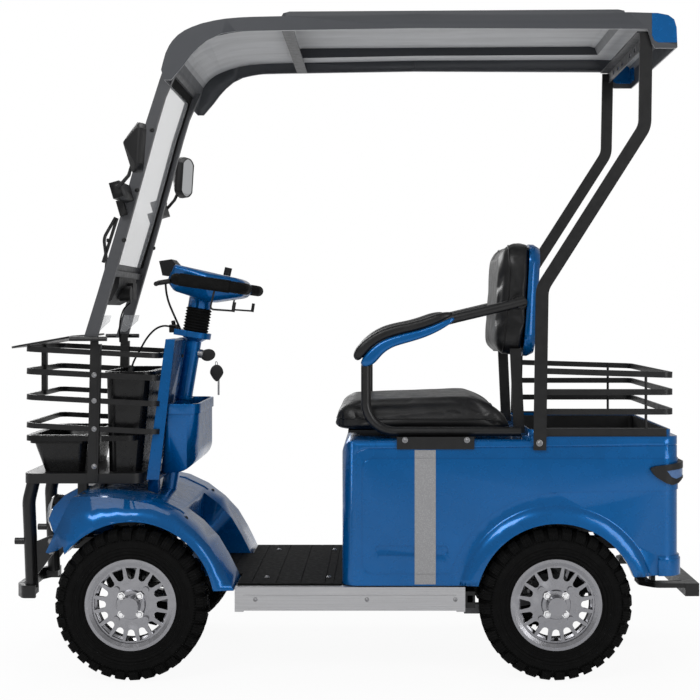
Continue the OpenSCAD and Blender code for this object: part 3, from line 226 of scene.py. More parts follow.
def gloss_paint(name, colour, flake=0.45):
    """Metallic lacquer: flakes under a clear coat, with faint orange peel and softened edges."""
    s = Shader(name)
    broad = s.remap(s.noise(3.0, 2), 0.3, 0.7, 0, 1)
    tone = s.mixed(broad, shaded(colour, 0.9), shaded(colour, 1.1))
    flakes = s.remap(s.cells(FLAKE_SCALE), 0.0, 0.5, 0.16, 0)
    tone = s.mixed(flakes, tone, shaded(colour, 2.4))
    rounded = s.node("ShaderNodeBevel", samples=4)
    rounded.inputs["Radius"].default_value = EDGE_ROUND
    peel = s.bump(s.noise(140, 2), 0.03, 0.0004, rounded.outputs["Normal"])
    grain = s.bump(s.cells(FLAKE_SCALE), 0.04, 0.0002, peel)
    rough = s.remap(s.noise(26, 5), 0.3, 0.75, 0.2, 0.36)
    return s.finish(
        tone, rough, flake, grain,
        Coat_Weight=0.55, Coat_Roughness=0.03, Coat_IOR=1.45, Specular_IOR_Level=0.1,
    )


def satin_metal(name, colour, rough=0.36, metal=0.0, coat=0.25):
    """Powder-coated steel with a fine pebbled skin and paler rubbed spots."""
    s = Shader(name)
    rubbed = s.remap(s.noise(18, 6), 0.62, 0.8, 0, 0.5)
    tone = s.mixed(rubbed, colour, shaded(colour, 1.9))
    height = s.bump(s.noise(900, 3), 0.22, 0.0005)
    blotch = s.remap(s.noise(60, 4), 0.3, 0.7, rough - 0.06, rough + 0.1)
    return s.finish(
        tone, blotch, metal, height, Coat_Weight=coat, Coat_Roughness=0.2, Specular_IOR_Level=0.3,
    )


def moulded(name, colour, rough=0.5, grain=700, depth=0.3):
    """Moulded plastic with a leathery grain."""
    s = Shader(name)
    tone = s.mixed(s.remap(s.noise(9, 4), 0.35, 0.7, 0, 1), shaded(colour, 0.85), shaded(colour, 1.2))
    height = s.bump(s.cells(grain, feature="SMOOTH_F1"), depth, 0.0006)
    blotch = s.remap(s.noise(45, 5), 0.3, 0.7, rough - 0.07, rough + 0.09)
    return s.finish(tone, blotch, 0.0, height, Specular_IOR_Level=0.3)


def rubber(name, colour, ribs=None):
    """Dull rubber, with dust in its grain."""
    s = Shader(name)
    dust = s.remap(s.noise(30, 8, rough=0.7), 0.5, 0.8, 0, 0.45)
    tone = s.mixed(dust, colour, shaded(colour, 2.6))
    height = s.bump(s.noise(520, 4), 0.35, 0.0007)
    if ribs is not None:
        height = s.bump(ribs(s), 0.8, 0.0016, height)
    return s.finish(tone, s.remap(s.noise(80, 4), 0.3, 0.7, 0.68, 0.88), 0.0, height, Specular_IOR_Level=0.08)


def brushed(name, colour, scale, rough=0.34):
    """Drawn aluminium: long fine scratches along one axis."""
    s = Shader(name)
    lines = s.noise(1.0, 6, s.stretched(scale))
    tone = s.mixed(s.remap(lines, 0.3, 0.7, 0, 1), shaded(colour, 0.84), shaded(colour, 1.1))
    height = s.bump(lines, 0.25, 0.0004)
    return s.finish(tone, s.remap(lines, 0.3, 0.7, rough - 0.07, rough + 0.1), 0.9, height)


def chrome(name, colour, rough=0.07):
    s = Shader(name)
    smear = s.remap(s.noise(22, 6), 0.4, 0.8, rough, rough + 0.12)
    tone = s.mixed(s.remap(s.noise(6, 3), 0.3, 0.7, 0, 1), shaded(colour, 0.93), colour)
    return s.finish(tone, smear, 1.0, s.bump(s.noise(40, 2), 0.03, 0.0005))


def roof_skin(name, top, under):
    """Moulded sheet: dark on top, with painted bounce light from the floor making it paler where it faces the
    ground.
    """
    s = Shader(name)
    split = s.node("ShaderNodeSeparateXYZ")
    s.join(s.node("ShaderNodeNewGeometry").outputs["True Normal"], split.inputs[0])
    # Painted light: faces turned to the ground take the paler under colour, as bounce light from the floor.
    bounce_light_mask = s.remap(split.outputs["Z"], -0.75, -0.2, 1, 0)
    streak = s.remap(s.noise(1.0, 4, s.stretched((3, 22, 22))), 0.3, 0.7, 0, 1)
    painted_floor_bounce = s.mixed(streak, shaded(under, 0.88), shaded(under, 1.12))
    tone = s.mixed(bounce_light_mask, top, painted_floor_bounce)
    height = s.bump(s.noise(420, 3), 0.12, 0.0004)
    rough = s.remap(s.noise(20, 5), 0.3, 0.7, 0.42, 0.56)
    return s.finish(tone, rough, 0.0, height, Specular_IOR_Level=0.3)


def glassy(name, colour, thin, rough=0.04):
    """Clear sheet: most light passes straight through, so what is behind stays in place."""
    s = Shader(name)
    film = s.remap(s.noise(7, 5), 0.35, 0.8, rough, rough + 0.1)
    s.finish(colour, film, 0.0, s.bump(s.noise(12, 2), 0.04, 0.001), IOR=1.35)
    s.body.inputs["Alpha"].default_value = thin
    return s.material


def leather(name, colour):
    """Synthetic leather: pebbled grain, soft creases, a satin top coat."""
    s = Shader(name)
    tone = s.mixed(s.remap(s.noise(11, 5), 0.35, 0.7, 0, 1), shaded(colour, 0.75), shaded(colour, 1.35))
    pebble = s.bump(s.cells(620, feature="SMOOTH_F1"), 0.35, 0.0007)
    crease = s.bump(s.noise(28, 5), 0.25, 0.003, pebble)
    rough = s.remap(s.noise(34, 5), 0.3, 0.75, 0.3, 0.48)
    return s.finish(
        tone, rough, 0.0, crease, Coat_Weight=0.06, Coat_Roughness=0.3, Specular_IOR_Level=0.3,
    )


def dotted_tape(name, colour):
    """Reflective silver tape with rows of fine dots."""
    s = Shader(name)
    dots = s.cells(330)
    tone = s.mixed(s.remap(dots, 0.1, 0.45, 0, 1), shaded(colour, 1.15), shaded(colour, 0.8))
    return s.finish(tone, 0.42, 0.35, s.bump(dots, 0.5, 0.0006))


def glowing_stage(name):
    """Pale floor, almost plain white where the camera sees it, with the contact shadow kept."""
    s = Shader(name)
    s.finish([0.93, 0.93, 0.93], 0.9)
    path = s.node("ShaderNodeLightPath")
    emission = s.node("ShaderNodeEmission")
    emission.inputs["Strength"].default_value = 1.0
    mix = s.node("ShaderNodeMixShader")
    length = s.node("ShaderNodeVectorMath", operation="LENGTH")
    s.join(s.coords, length.inputs[0])
    away = s.remap(length.outputs["Value"], 1.0, 2.2, 0.94, 1.0)
    share = s.math("MULTIPLY", path.outputs["Is Camera Ray"], away)
    s.join(share, mix.inputs["Fac"])
    s.join(s.body.outputs["BSDF"], mix.inputs[1])
    s.join(emission.outputs["Emission"], mix.inputs[2])
    s.join(mix.outputs["Shader"], s.tree.nodes["Material Output"].inputs["Surface"])
    return s.material


blue_paint = gloss_paint("blue_lacquer", linear(0, 86, 148))
black_steel = satin_metal("black_powder_coat", linear(17, 17, 18))
black_plastic = moulded("black_moulding", linear(22, 22, 23), 0.46)
tub_plastic = moulded("tub_moulding", linear(13, 13, 14), 0.24, 500, 0.08)
# The roof's second colour is painted bounce light on its underside.
roof_plastic = roof_skin("charcoal_roof", linear(66, 68, 72), linear(188, 189, 191))
frame_plastic = satin_metal("charcoal_frame", linear(70, 71, 74), 0.34)
grip_rubber = rubber("grip_rubber", linear(18, 18, 18))
mat_rubber = rubber("mat_rubber", linear(8, 8, 8))
silver_metal = satin_metal("silver_rim_paint", linear(146, 146, 150), 0.2, 1.0, 0.3)
sill_metal = brushed("drawn_sill", linear(186, 186, 188), (6, 900, 900))
tape = dotted_tape("dotted_silver_tape", linear(158, 158, 160))
bright = chrome("chrome", [0.9, 0.9, 0.91])
mirror_face = chrome("mirror_silver", [0.86, 0.88, 0.9], 0.02)
steel = brushed("plain_steel", linear(150, 150, 152), (300, 300, 300), 0.38)
screen_clear = glassy("screen_sheet", linear(206, 208, 211), thin=0.3)
lens_clear = glassy("lens_clear", linear(214, 222, 232), thin=0.42)
# The tail lens's blue colour is a painted reflection, not the lens's own tint.
tail_lens_painted_reflection = glassy("tail_lens_painted_blue_reflection", linear(96, 128, 176), rough=0.08, thin=0.72)
seat_leather = leather("seat_leather", linear(20, 20, 21))
piping_leather = leather("piping_leather", linear(13, 13, 14))
engine_grey = satin_metal("motor_grey", linear(96, 97, 99), 0.5, 0.4)
spring_black = satin_metal("spring_black", linear(30, 30, 31), 0.3)

FINISHES = {
    "frame": black_steel, "deck_mat": mat_rubber, "side_rails": sill_metal, "front_body": blue_paint,
    "leg_shield": blue_paint, "knee_bin": blue_paint, "column_tube": blue_paint, "headlamp": bright,
    "headlamp_lens": lens_clear, "front_bumper": black_steel, "basket_frame": black_steel,
    "basket_tubs": tub_plastic, "wind_shelf": black_steel, "rear_body": blue_paint,
    "cargo_liner": black_plastic, "cargo_rack": black_steel, "side_stripes": tape,
    "tail_lamps": black_plastic, "tail_lenses": tail_lens_painted_reflection, "rear_bumper": black_steel,
    "seat_frame": black_steel, "back_shell": blue_paint, "arm_frames": black_steel,
    "arm_pad_bases": blue_paint, "roof_shell": roof_plastic, "roof_corners": blue_paint,
    "roof_braces": frame_plastic, "roof_posts": black_steel, "screen_frame": frame_plastic,
    "screen_glass": screen_clear, "screen_gasket": grip_rubber, "screen_corners": screen_clear,
    "screen_clamps": black_steel, "mirrors": black_plastic, "mirror_glasses": mirror_face,
    "wiper_unit": black_plastic, "front_axle": black_steel, "rear_axle": engine_grey,
    "shock_absorbers": spring_black, "battery": black_plastic, "steering_shaft": grip_rubber,
    "tiller_head": blue_paint, "tiller_grips": grip_rubber, "tiller_controls": black_plastic,
    "knuckle_left": black_steel, "knuckle_right": black_steel, "tie_rod": black_steel,
    "seat_cushion": seat_leather, "back_cushion": seat_leather, "arm_pads": seat_leather,
}

# Wheels: name of the body, X and side of each
WHEELS = {
    "front_left": (0.551, 1), "front_right": (0.551, -1),
    "rear_left": (-0.514, 1), "rear_right": (-0.514, -1),
}
WHEEL_Y = 0.285
WHEEL_R = 0.192

# A tyre's sidewall: the pitch of its rings, the count of its ribs, and the radii where they begin and end
RING_PITCH = 0.0085
RIB_COUNT = 150
RINGS_END = (0.146, 0.15)
RIBS_START = (0.158, 0.162)


def tyre_rings(x, side):
    """Raised rings and fine ribs round one tyre's sidewall."""

    def made(s):
        place = s.stretched((1, 0, 1), (-x, 0, -WHEEL_R))
        length = s.node("ShaderNodeVectorMath", operation="LENGTH")
        s.join(place, length.inputs[0])
        radius = length.outputs["Value"]
        wave = s.math("SINE", s.math("MULTIPLY", radius, 2 * math.pi / RING_PITCH))
        split = s.node("ShaderNodeSeparateXYZ")
        s.join(place, split.inputs[0])
        angle = s.math("ARCTAN2", split.outputs["Z"], split.outputs["X"])
        ribs = s.math("SINE", s.math("MULTIPLY", angle, RIB_COUNT))
        outer = s.remap(radius, *RIBS_START, 0, 1)
        inner = s.remap(radius, *RINGS_END, 1, 0)
        return s.math("ADD", s.math("MULTIPLY", wave, inner), s.math("MULTIPLY", ribs, outer))

    return made


def paint(node, material):
    data = NODES[node].data
    if not data.materials:
        data.materials.append(material)
    for place in range(len(data.materials)):
        data.materials[place] = material


for node, finish in FINISHES.items():
    paint(node, finish)
for wheel, (wheel_x, wheel_side) in WHEELS.items():
    paint("rim_" + wheel, silver_metal)
    tyre_rubber = rubber("tyre_rubber_" + wheel, linear(11, 11, 11), tyre_rings(wheel_x, wheel_side))
    paint("tyre_" + wheel, tyre_rubber)


def body_for(node):
    """The body that a node moves with."""
    return body_of(NODES[node])[0]


# Building blocks
def smooth_faces(data):
    for face in data.polygons:
        face.use_smooth = True


def from_bmesh(name, shape, material, body, angle=30):
    """An object from the shape, smooth up to that angle in degrees between faces."""
    data = bpy.data.meshes.new(name)
    shape.to_mesh(data)
    shape.free()
    data.materials.append(material)
    made = placed(name, data)
    smooth_faces(data)
    data.set_sharp_from_angle(angle=math.radians(angle))
    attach(made, body)
    return made


def turned(shape, profile, axis, origin, sides=20):
    """Revolves (radius, height) pairs about an axis into a skin closed at both ends."""
    axis = Vector(axis).normalized()
    across = axis.orthogonal().normalized()
    third = axis.cross(across)
    rings = []
    for radius, height in profile:
        ring = []
        for step in range(sides):
            angle = 2 * math.pi * step / sides
            way = across * math.cos(angle) + third * math.sin(angle)
            ring.append(shape.verts.new(Vector(origin) + axis * height + way * radius))
        rings.append(ring)
    for low, high in zip(rings, rings[1:]):
        for step in range(sides):
            after = (step + 1) % sides
            shape.faces.new((low[step], low[after], high[after], high[step]))
    shape.faces.new(list(reversed(rings[0])))
    shape.faces.new(rings[-1])


def block(shape, low, high, round_by):
    """A box with rounded edges between two corners."""
    made = bmesh.ops.create_cube(shape, size=1.0)["verts"]
    place = Matrix.Translation((low + high) / 2) @ Matrix.Diagonal((*(high - low), 1))
    bmesh.ops.transform(shape, matrix=place, verts=made)
    edges = list({edge for vert in made for edge in vert.link_edges})
    bmesh.ops.bevel(shape, geom=edges, offset=round_by, segments=2, affect="EDGES", profile=0.6)


def tree_of(made):
    """A search tree of the object's faces."""
    data = made.data
    corners = [vert.co for vert in data.vertices]
    return BVHTree.FromPolygons(corners, [list(face.vertices) for face in data.polygons])


def landed(tree, origin, way):
    """Where a ray from origin meets the tree, with the surface's normal turned to meet the ray."""
    way = Vector(way).normalized()
    point, normal, _, _ = tree.ray_cast(Vector(origin), way)
    return point, -normal if normal.dot(way) > 0 else normal


# A button or hexagon head: (radius, height) pairs from its seat up, in shares of its radius
BUTTON = [(1.35, -0.2), (1.35, 0.15), (1.0, 0.2), (1.0, 0.42), (0.8, 0.68), (0.45, 0.82), (0.42, 0.5)]
HEX = [(1.45, -0.2), (1.45, 0.18), (1.0, 0.2), (1.0, 0.8), (0.85, 0.95)]


def bolts(name, node, rays, material, radius, form=BUTTON, sides=16):
    """Heads set on the node's surface where the rays, pairs of origin and way, meet it."""
    shape = bmesh.new()
    tree = tree_of(NODES[node])
    for origin, way in rays:
        point, normal = landed(tree, origin, way)
        turned(shape, [(r * radius, h * radius) for r, h in form], normal, point, sides)
    from_bmesh(name, shape, material, body_for(node), 35)


def line(name, points, radius, material, body, closed=False, smooth=True):
    """A round bead along points, as a curve."""
    data = bpy.data.curves.new(name, "CURVE")
    data.dimensions = "3D"
    data.bevel_depth = radius
    data.bevel_resolution = 3
    data.resolution_u = 6
    data.use_fill_caps = True
    spline = data.splines.new("NURBS" if smooth else "POLY")
    spline.points.add(len(points) - 1)
    for place, point in zip(spline.points, points):
        place.co = (*point, 1)
    spline.use_cyclic_u = closed
    if smooth:
        spline.order_u = 4
        spline.use_endpoint_u = not closed
    data.materials.append(material)
    made = placed(name, data)
    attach(made, body)
    return made


def spline_through(points, count=40):
    """Points of a smooth line through the given ones."""
    points = [Vector(p) for p in points]
    ends = [points[0] * 2 - points[1]] + points + [points[-1] * 2 - points[-2]]
    out = []
    spans = len(points) - 1
    for step in range(count + 1):
        along = step / count * spans
        span = min(int(along), spans - 1)
        t = along - span
        a, b, c, d = ends[span:span + 4]
        square = 2 * a - 5 * b + 4 * c - d
        cube = 3 * b - a - 3 * c + d
        out.append(0.5 * (2 * b + (c - a) * t + square * t * t + cube * t ** 3))
    return out


# Cables: they are built before every other piece
def cable(name, places, radius, body):
    points = spline_through(places)
    made = line(name, points, radius, grip_rubber, body, smooth=False)


tiller = body_for("tiller_head")
chassis = body_for("frame")
brake_cable = [
    on_photo(165.5, 283, 0.062), on_photo(166.5, 293, 0.058), on_photo(169, 303, 0.05),
    on_photo(174, 315, 0.04), on_photo(178.5, 325, 0.03), on_photo(180.5, 330, 0.022),
]
cable("brake_cable", brake_cable, 0.0028, tiller)
lamp_cable = [
    on_photo(176, 327, 0.03), on_photo(171, 326.5, 0.045), on_photo(163, 326, 0.06),
    on_photo(155, 329.5, 0.08), on_photo(147, 338, 0.1), on_photo(140, 350, 0.12),
    on_photo(134, 361, 0.135), on_photo(131, 370, 0.145),
]
cable("lamp_cable", lamp_cable, 0.0026, chassis)
wiper_cable = [
    on_photo(130, 303, -0.108), on_photo(124, 309, -0.13), on_photo(120.5, 319, -0.16),
    on_photo(119.5, 331, -0.185), on_photo(120, 342, -0.2),
]
cable("wiper_cable", wiper_cable, 0.0022, chassis)


# Padded pieces: each starts from its CAD solid, made a little smaller, and is blown up under a cap
def applied(made):
    """Its mesh with the modifiers applied."""
    graph = bpy.context.evaluated_depsgraph_get()
    graph.update()
    return bpy.data.meshes.new_from_object(made.evaluated_get(graph))


def bake(made):
    """Applies the object's modifiers for good."""
    made.data = applied(made)
    made.modifiers.clear()


def subdivided(made, levels):
    subdivide = made.modifiers.new("subdivide", "SUBSURF")
    subdivide.levels = levels
    subdivide.render_levels = levels
    bake(made)


# How far a pad's solid is shrunk first, the size of its voxels, the cloth's pressure, the cap on how far
# a point may move, and the frames that the cloth runs
PAD_SHRINK = 0.002
PAD_VOXEL = 0.006
PAD_PRESSURE = 3
PAD_CAP = 0.007
PAD_FRAMES = 20


def blow_up(made, pinned):
    """Blows the object up as cloth, apart from the points that pinned picks."""
    rest = [v.co.copy() for v in made.data.vertices]
    group = made.vertex_groups.new(name="held")
    group.add([v.index for v in made.data.vertices if pinned(v.co)], 1.0, "REPLACE")
    cloth = made.modifiers.new("cloth", "CLOTH")
    settings = cloth.settings
    settings.vertex_group_mass = "held"
    settings.use_pressure = True
    settings.uniform_pressure_force = PAD_PRESSURE
    settings.effector_weights.gravity = 0
    settings.quality = 4
    settings.tension_stiffness = 12
    settings.compression_stiffness = 12
    cloth.point_cache.frame_start = 1
    cloth.point_cache.frame_end = PAD_FRAMES
    for number in range(1, PAD_FRAMES + 1):
        scene.frame_set(number)
    blown = applied(made)
    for vert, start in zip(blown.vertices, rest):
        move = vert.co - start
        if move.length > PAD_CAP:
            vert.co = start + move * (PAD_CAP / move.length)
    made.modifiers.clear()
    made.data = blown
    scene.frame_set(1)


def pad(name, node, pinned, rounds, height=1.0):
    """A blown-up pad that stands for the node: rounds of smoothing first, and its height scaled."""
    made = placed(name, NODES[node].data.copy())
    remesh = made.modifiers.new("remesh", "REMESH")
    remesh.mode = "VOXEL"
    remesh.voxel_size = PAD_VOXEL
    bake(made)
    shape = bmesh.new()
    shape.from_mesh(made.data)
    for _ in range(rounds):
        bmesh.ops.smooth_vert(
            shape, verts=shape.verts, factor=0.5, use_axis_x=True, use_axis_y=True, use_axis_z=True,
        )
    shape.normal_update()
    floor = min(vert.co.z for vert in shape.verts)
    for vert in shape.verts:
        vert.co -= vert.normal * PAD_SHRINK
        vert.co.z = floor + (vert.co.z - floor) * height
    shape.to_mesh(made.data)
    shape.free()
    blow_up(made, pinned)
    subdivided(made, 1)
    made.data.materials.clear()
    made.data.materials.append(seat_leather)
    smooth_faces(made.data)
    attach(made, body_for(node))
    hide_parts(node)
    return made


def middle_and_half(node):
    """The middle of the node's box and half its size."""
    low, high = [Vector(corner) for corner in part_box(node)]
    return (low + high) / 2, (high - low) / 2


def ring_points(half_a, half_b, corner, count=96):
    """A rounded rectangle's outline, as pairs; a higher corner is squarer."""
    out = []
    power = 2 / corner
    for step in range(count):
        angle = 2 * math.pi * step / count
        ca, sa = math.cos(angle), math.sin(angle)
        across = half_a * math.copysign(abs(ca) ** power, ca)
        out.append((across, half_b * math.copysign(abs(sa) ** power, sa)))
    return out


PIPING_R = 0.0024
PIPING_CORNER = 5


def piping(name, made, points, node):
    """A sewn bead laid on the pad's nearest surface."""
    tree = tree_of(made)
    laid = [tree.find_nearest(Vector(point))[0] for point in points]
    bead = line(name, laid, PIPING_R, piping_leather, body_for(node), closed=True)


# Seat: held below this height; its bead runs round at a height above its foot, a little inside its box
SEAT_HELD_Z = 0.632
SEAT_BEAD_UP = 0.03
SEAT_BEAD_IN = 0.004
seat = pad("seat_cushion_soft", "seat_cushion", lambda co: co.z < SEAT_HELD_Z, rounds=26, height=0.82)
seat_mid, seat_half = middle_and_half("seat_cushion")
seat_loop = [
    (seat_mid.x + a, seat_mid.y + b, seat_mid.z - seat_half.z + SEAT_BEAD_UP)
    for a, b in ring_points(seat_half.x - SEAT_BEAD_IN, seat_half.y - SEAT_BEAD_IN, PIPING_CORNER)
]
piping("seat_piping_0", seat, seat_loop, "seat_cushion")

# Back: held behind this X; its bead runs round behind its front face, which leans back
BACK_HELD_X = -0.447
BACK_BEAD_X = -0.395
BACK_BEAD_Z = 0.811
BACK_BEAD_IN = 0.008
BACK_LEAN = math.tan(math.radians(3.5))
back = pad("back_cushion_soft", "back_cushion", lambda co: co.x < BACK_HELD_X, rounds=14)
back_mid, back_half = middle_and_half("back_cushion")
back_loop = [
    (BACK_BEAD_X - (back_mid.z + b - BACK_BEAD_Z) * BACK_LEAN, a, back_mid.z + b)
    for a, b in ring_points(back_half.y - BACK_BEAD_IN, back_half.z - BACK_BEAD_IN, PIPING_CORNER)
]
piping("back_piping_0", back, back_loop, "back_cushion")


# Arm pads and their blue bases follow the arm's line. Each row has the picture positions of the top edge
# and the bottom edge, X and Y. The spans are the inner and outer Y.
ARM_DEPTH = 0.262
PAD_SPAN = (0.231, 0.281)
BASE_SPAN = (0.2405, 0.284)
SWEPT_SIDES = 24
PAD_ROWS = [
    (350.5, 356, 359.5, 363.5), (355, 348.5, 364, 356.5), (361, 342, 370, 349), (370.5, 334.5, 379, 342),
    (382, 328.3, 391, 337), (396, 324.4, 406, 333), (412, 321.6, 420, 330), (426, 317.4, 432, 325.8),
    (438, 312.6, 444, 320.8), (451, 310.2, 455, 315.8),
]
BASE_ROWS = [
    (359.5, 362.5, 362.5, 368), (364, 356, 374, 365.5), (370, 348.8, 381.5, 354.5), (379, 341.5, 390, 348.5),
    (391, 336.5, 397, 345.5), (406, 332.6, 411, 341.8), (420, 329.6, 424, 337.8), (432, 325.4, 436, 332.6),
    (444, 320.4, 447, 326.4), (455, 315.6, 456, 319.4),
]


def swept(name, rows, span, corner, node, material, round_ends=0.6):
    """Lofts rounded sections along the rows, on both sides, and stands for the node."""
    shape = bmesh.new()
    inner, outer = span
    for side in (1, -1):
        rings = []
        for place, (top_x, top_y, low_x, low_y) in enumerate(rows):
            top, low = on_photo(top_x, top_y, ARM_DEPTH), on_photo(low_x, low_y, ARM_DEPTH)
            middle, half = (top + low) / 2, (top - low) / 2
            width = (outer - inner) / 2
            if place in (0, len(rows) - 1):
                width *= round_ends
                half *= round_ends
            ring = []
            for a, b in ring_points(1, 1, corner, SWEPT_SIDES):
                point = middle + half * b
                ring.append(shape.verts.new((point.x, side * ((inner + outer) / 2 + width * a), point.z)))
            rings.append(ring)
        for low_ring, high_ring in zip(rings, rings[1:]):
            for step in range(SWEPT_SIDES):
                after = (step + 1) % SWEPT_SIDES
                shape.faces.new((low_ring[step], low_ring[after], high_ring[after], high_ring[step]))
        shape.faces.new(rings[0])
        shape.faces.new(list(reversed(rings[-1])))
    bmesh.ops.recalc_face_normals(shape, faces=shape.faces)
    made = from_bmesh(name, shape, material, body_for(node), 60)
    subdivided(made, 2)
    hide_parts(node)
    return made


arm_pad = swept("arm_pads_soft", PAD_ROWS, PAD_SPAN, 3.2, "arm_pads", seat_leather)
arm_base = swept("arm_bases_swept", BASE_ROWS, BASE_SPAN, 4, "arm_pad_bases", blue_paint, 0.85)


# Copies of solids whose facets are shaded round
def shaded_round(data, angle):
    """Joins the mesh's split corners and shades it smooth up to that angle in degrees."""
    shape = bmesh.new()
    shape.from_mesh(data)
    bmesh.ops.remove_doubles(shape, verts=shape.verts, dist=0.00002)
    shape.to_mesh(data)
    shape.free()
    smooth_faces(data)
    data.set_sharp_from_angle(angle=math.radians(angle))


def softened(name, node, material, angle, move=None):
    """A smoothly shaded copy that stands for the node; move, where given, shifts its points first."""
    data = NODES[node].data.copy()
    data.materials.clear()
    data.materials.append(material)
    if move is not None:
        for vert in data.vertices:
            vert.co = move(vert.co)
    shaded_round(data, angle)
    made = placed(name, data)
    weigh = made.modifiers.new("weighted_normals", "WEIGHTED_NORMAL")
    weigh.keep_sharp = True
    bake(made)
    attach(made, body_for(node))
    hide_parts(node)


# Mirrors: the heads, above the stalks and outside of them, toe in towards the rider about a pivot
MIRROR_X = 0.522
MIRROR_Y = 0.368
HEAD_LOW = 1.27
HEAD_INNER = 0.3
TOE_IN = math.radians(28)


def toed_in(point):
    if point.z <= HEAD_LOW or abs(point.y) <= HEAD_INNER:
        return point
    side = math.copysign(1, point.y)
    pivot = Vector((MIRROR_X, side * MIRROR_Y, 0))
    return pivot + Matrix.Rotation(side * TOE_IN, 3, "Z") @ (point - pivot)


softened("mirror_heads", "mirrors", black_plastic, 50, toed_in)
softened("mirror_faces", "mirror_glasses", mirror_face, 50, toed_in)
for node in ("front_body", "rear_body", "leg_shield", "knee_bin", "tiller_head", "back_shell"):
    softened(node + "_soft", node, blue_paint, 38)
softened("roof_shell_soft", "roof_shell", roof_plastic, 30)


# Bolts, screws and other small hardware
DOWN = (0, 0, -1)
INWARD = (0, -1, 0)
FORWARD = (1, 0, 0)
OUTSIDE = 0.6


def both(places):
    """The same rays on both sides."""
    return places + [((x, -y, z), (wx, -wy, wz)) for (x, y, z), (wx, wy, wz) in places]


def side_on(px, py, depth):
    """A ray from outside towards a point seen in the picture at that depth."""
    point = on_photo(px, py, depth)
    return ((point.x, OUTSIDE, point.z), INWARD)


SCREEN_Y = 0.218
BOLTS = [
    # Name, node, rays, material, radius, then form and sides where it isn't a button head
    ("post_foot_bolts", "roof_posts", both([side_on(539.5, 443, 0.307)]), steel, 0.0062),
    ("seat_strap_bolts", "seat_frame", both([side_on(px, 440, 0.302) for px in (405, 467)]), steel, 0.0055),
    ("sill_screws", "side_rails", both([((x, OUTSIDE, 0.203), INWARD) for x in (-0.262, -0.04, 0.24)]),
     steel, 0.0042),
    ("shield_screws", "leg_shield", [((0.2, y, z), FORWARD) for y in (-0.13, 0.13) for z in (0.72, 0.8)],
     black_steel, 0.0045),
    ("roof_screws", "roof_shell", both([((x, 0.28, 1.9), DOWN) for x in (-0.7, -0.35, 0.0, 0.3)]),
     black_steel, 0.0045),
    ("screen_screws", "screen_frame",
     both([side_on(px, py, SCREEN_Y) for px, py in ((124, 240), (137, 190), (152, 130))]),
     black_steel, 0.0045),
    ("deck_screws", "deck_mat", both([((x, 0.2, 0.5), DOWN) for x in (0.06, 0.22)]), steel, 0.005),
    ("bumper_bolts", "front_bumper", both([((0.8, 0.4, z), INWARD) for z in (0.318, 0.29)]),
     steel, 0.0055, HEX, 6),
    ("basket_bolts", "basket_frame", both([((0.668, 0.5, z), INWARD) for z in (0.525, 0.622, 0.695, 0.762)]),
     steel, 0.005),
    ("shell_screws", "back_shell", [((-0.7, y, z), FORWARD) for y in (-0.15, 0.15) for z in (0.85, 1.05)],
     black_steel, 0.0045),
    ("body_screws", "rear_body", both([((-1.0, 0.2, z), FORWARD) for z in (0.32, 0.44)]), steel, 0.0045),
    ("guard_screws", "front_body", both([((x, 0.262, 0.8), DOWN) for x in (0.42, 0.68)]),
     black_steel, 0.0045),
]
for row in BOLTS:
    bolts(*row)

# Wheel hardware: four lug bolts and a valve; sizes of the lug circle and the valve's place in the rim
LUG_COUNT = 4
LUG_CIRCLE_R = 0.03255
LUG_RAY_Y = 0.5
LUG_R = 0.0068
VALVE = [(0.0042, 0), (0.0042, 0.02), (0.0034, 0.021), (0.0034, 0.03)]
VALVE_DROP = 0.089
VALVE_OUT = 0.02
for wheel, (wheel_x, wheel_side) in WHEELS.items():
    lug_rays = []
    for turn in range(LUG_COUNT):
        angle = math.radians(45 + 360 / LUG_COUNT * turn)
        lug_x = wheel_x + LUG_CIRCLE_R * math.cos(angle)
        lug_z = WHEEL_R + LUG_CIRCLE_R * math.sin(angle)
        lug_rays.append(((lug_x, wheel_side * LUG_RAY_Y, lug_z), (0, -wheel_side, 0)))
    bolts("lugs_" + wheel, "rim_" + wheel, lug_rays, bright, LUG_R, HEX, 6)
    stem = bmesh.new()
    stem_foot = Vector((wheel_x, wheel_side * (WHEEL_Y + VALVE_OUT), WHEEL_R - VALVE_DROP))
    turned(stem, VALVE, (0, wheel_side, 0.25), stem_foot, 12)
    from_bmesh("valve_" + wheel, stem, grip_rubber, body_for("rim_" + wheel))

# Ignition key, ring, spare key and lock on the back of the column
KEY_Y = 0.0
KEY_THICK = 0.0045
RING_STEPS = 20


def key_bow(shape, centre, half_w, half_h, lean=0.0, taper=0.0):
    """A flat rounded bow in the XZ plane, leaning by an angle and tapered towards its foot."""
    made = bmesh.ops.create_uvsphere(shape, u_segments=28, v_segments=16, radius=1.0)["verts"]
    turn = Matrix.Rotation(lean, 4, "Y")
    place = Matrix.Translation(centre) @ turn @ Matrix.Diagonal((half_w, KEY_THICK, half_h, 1))
    for vert in made:
        vert.co.y = math.copysign(abs(vert.co.y) ** 0.35, vert.co.y)
        vert.co.x *= 1 + taper * min(0.0, vert.co.z)
    bmesh.ops.transform(shape, matrix=place, verts=made)


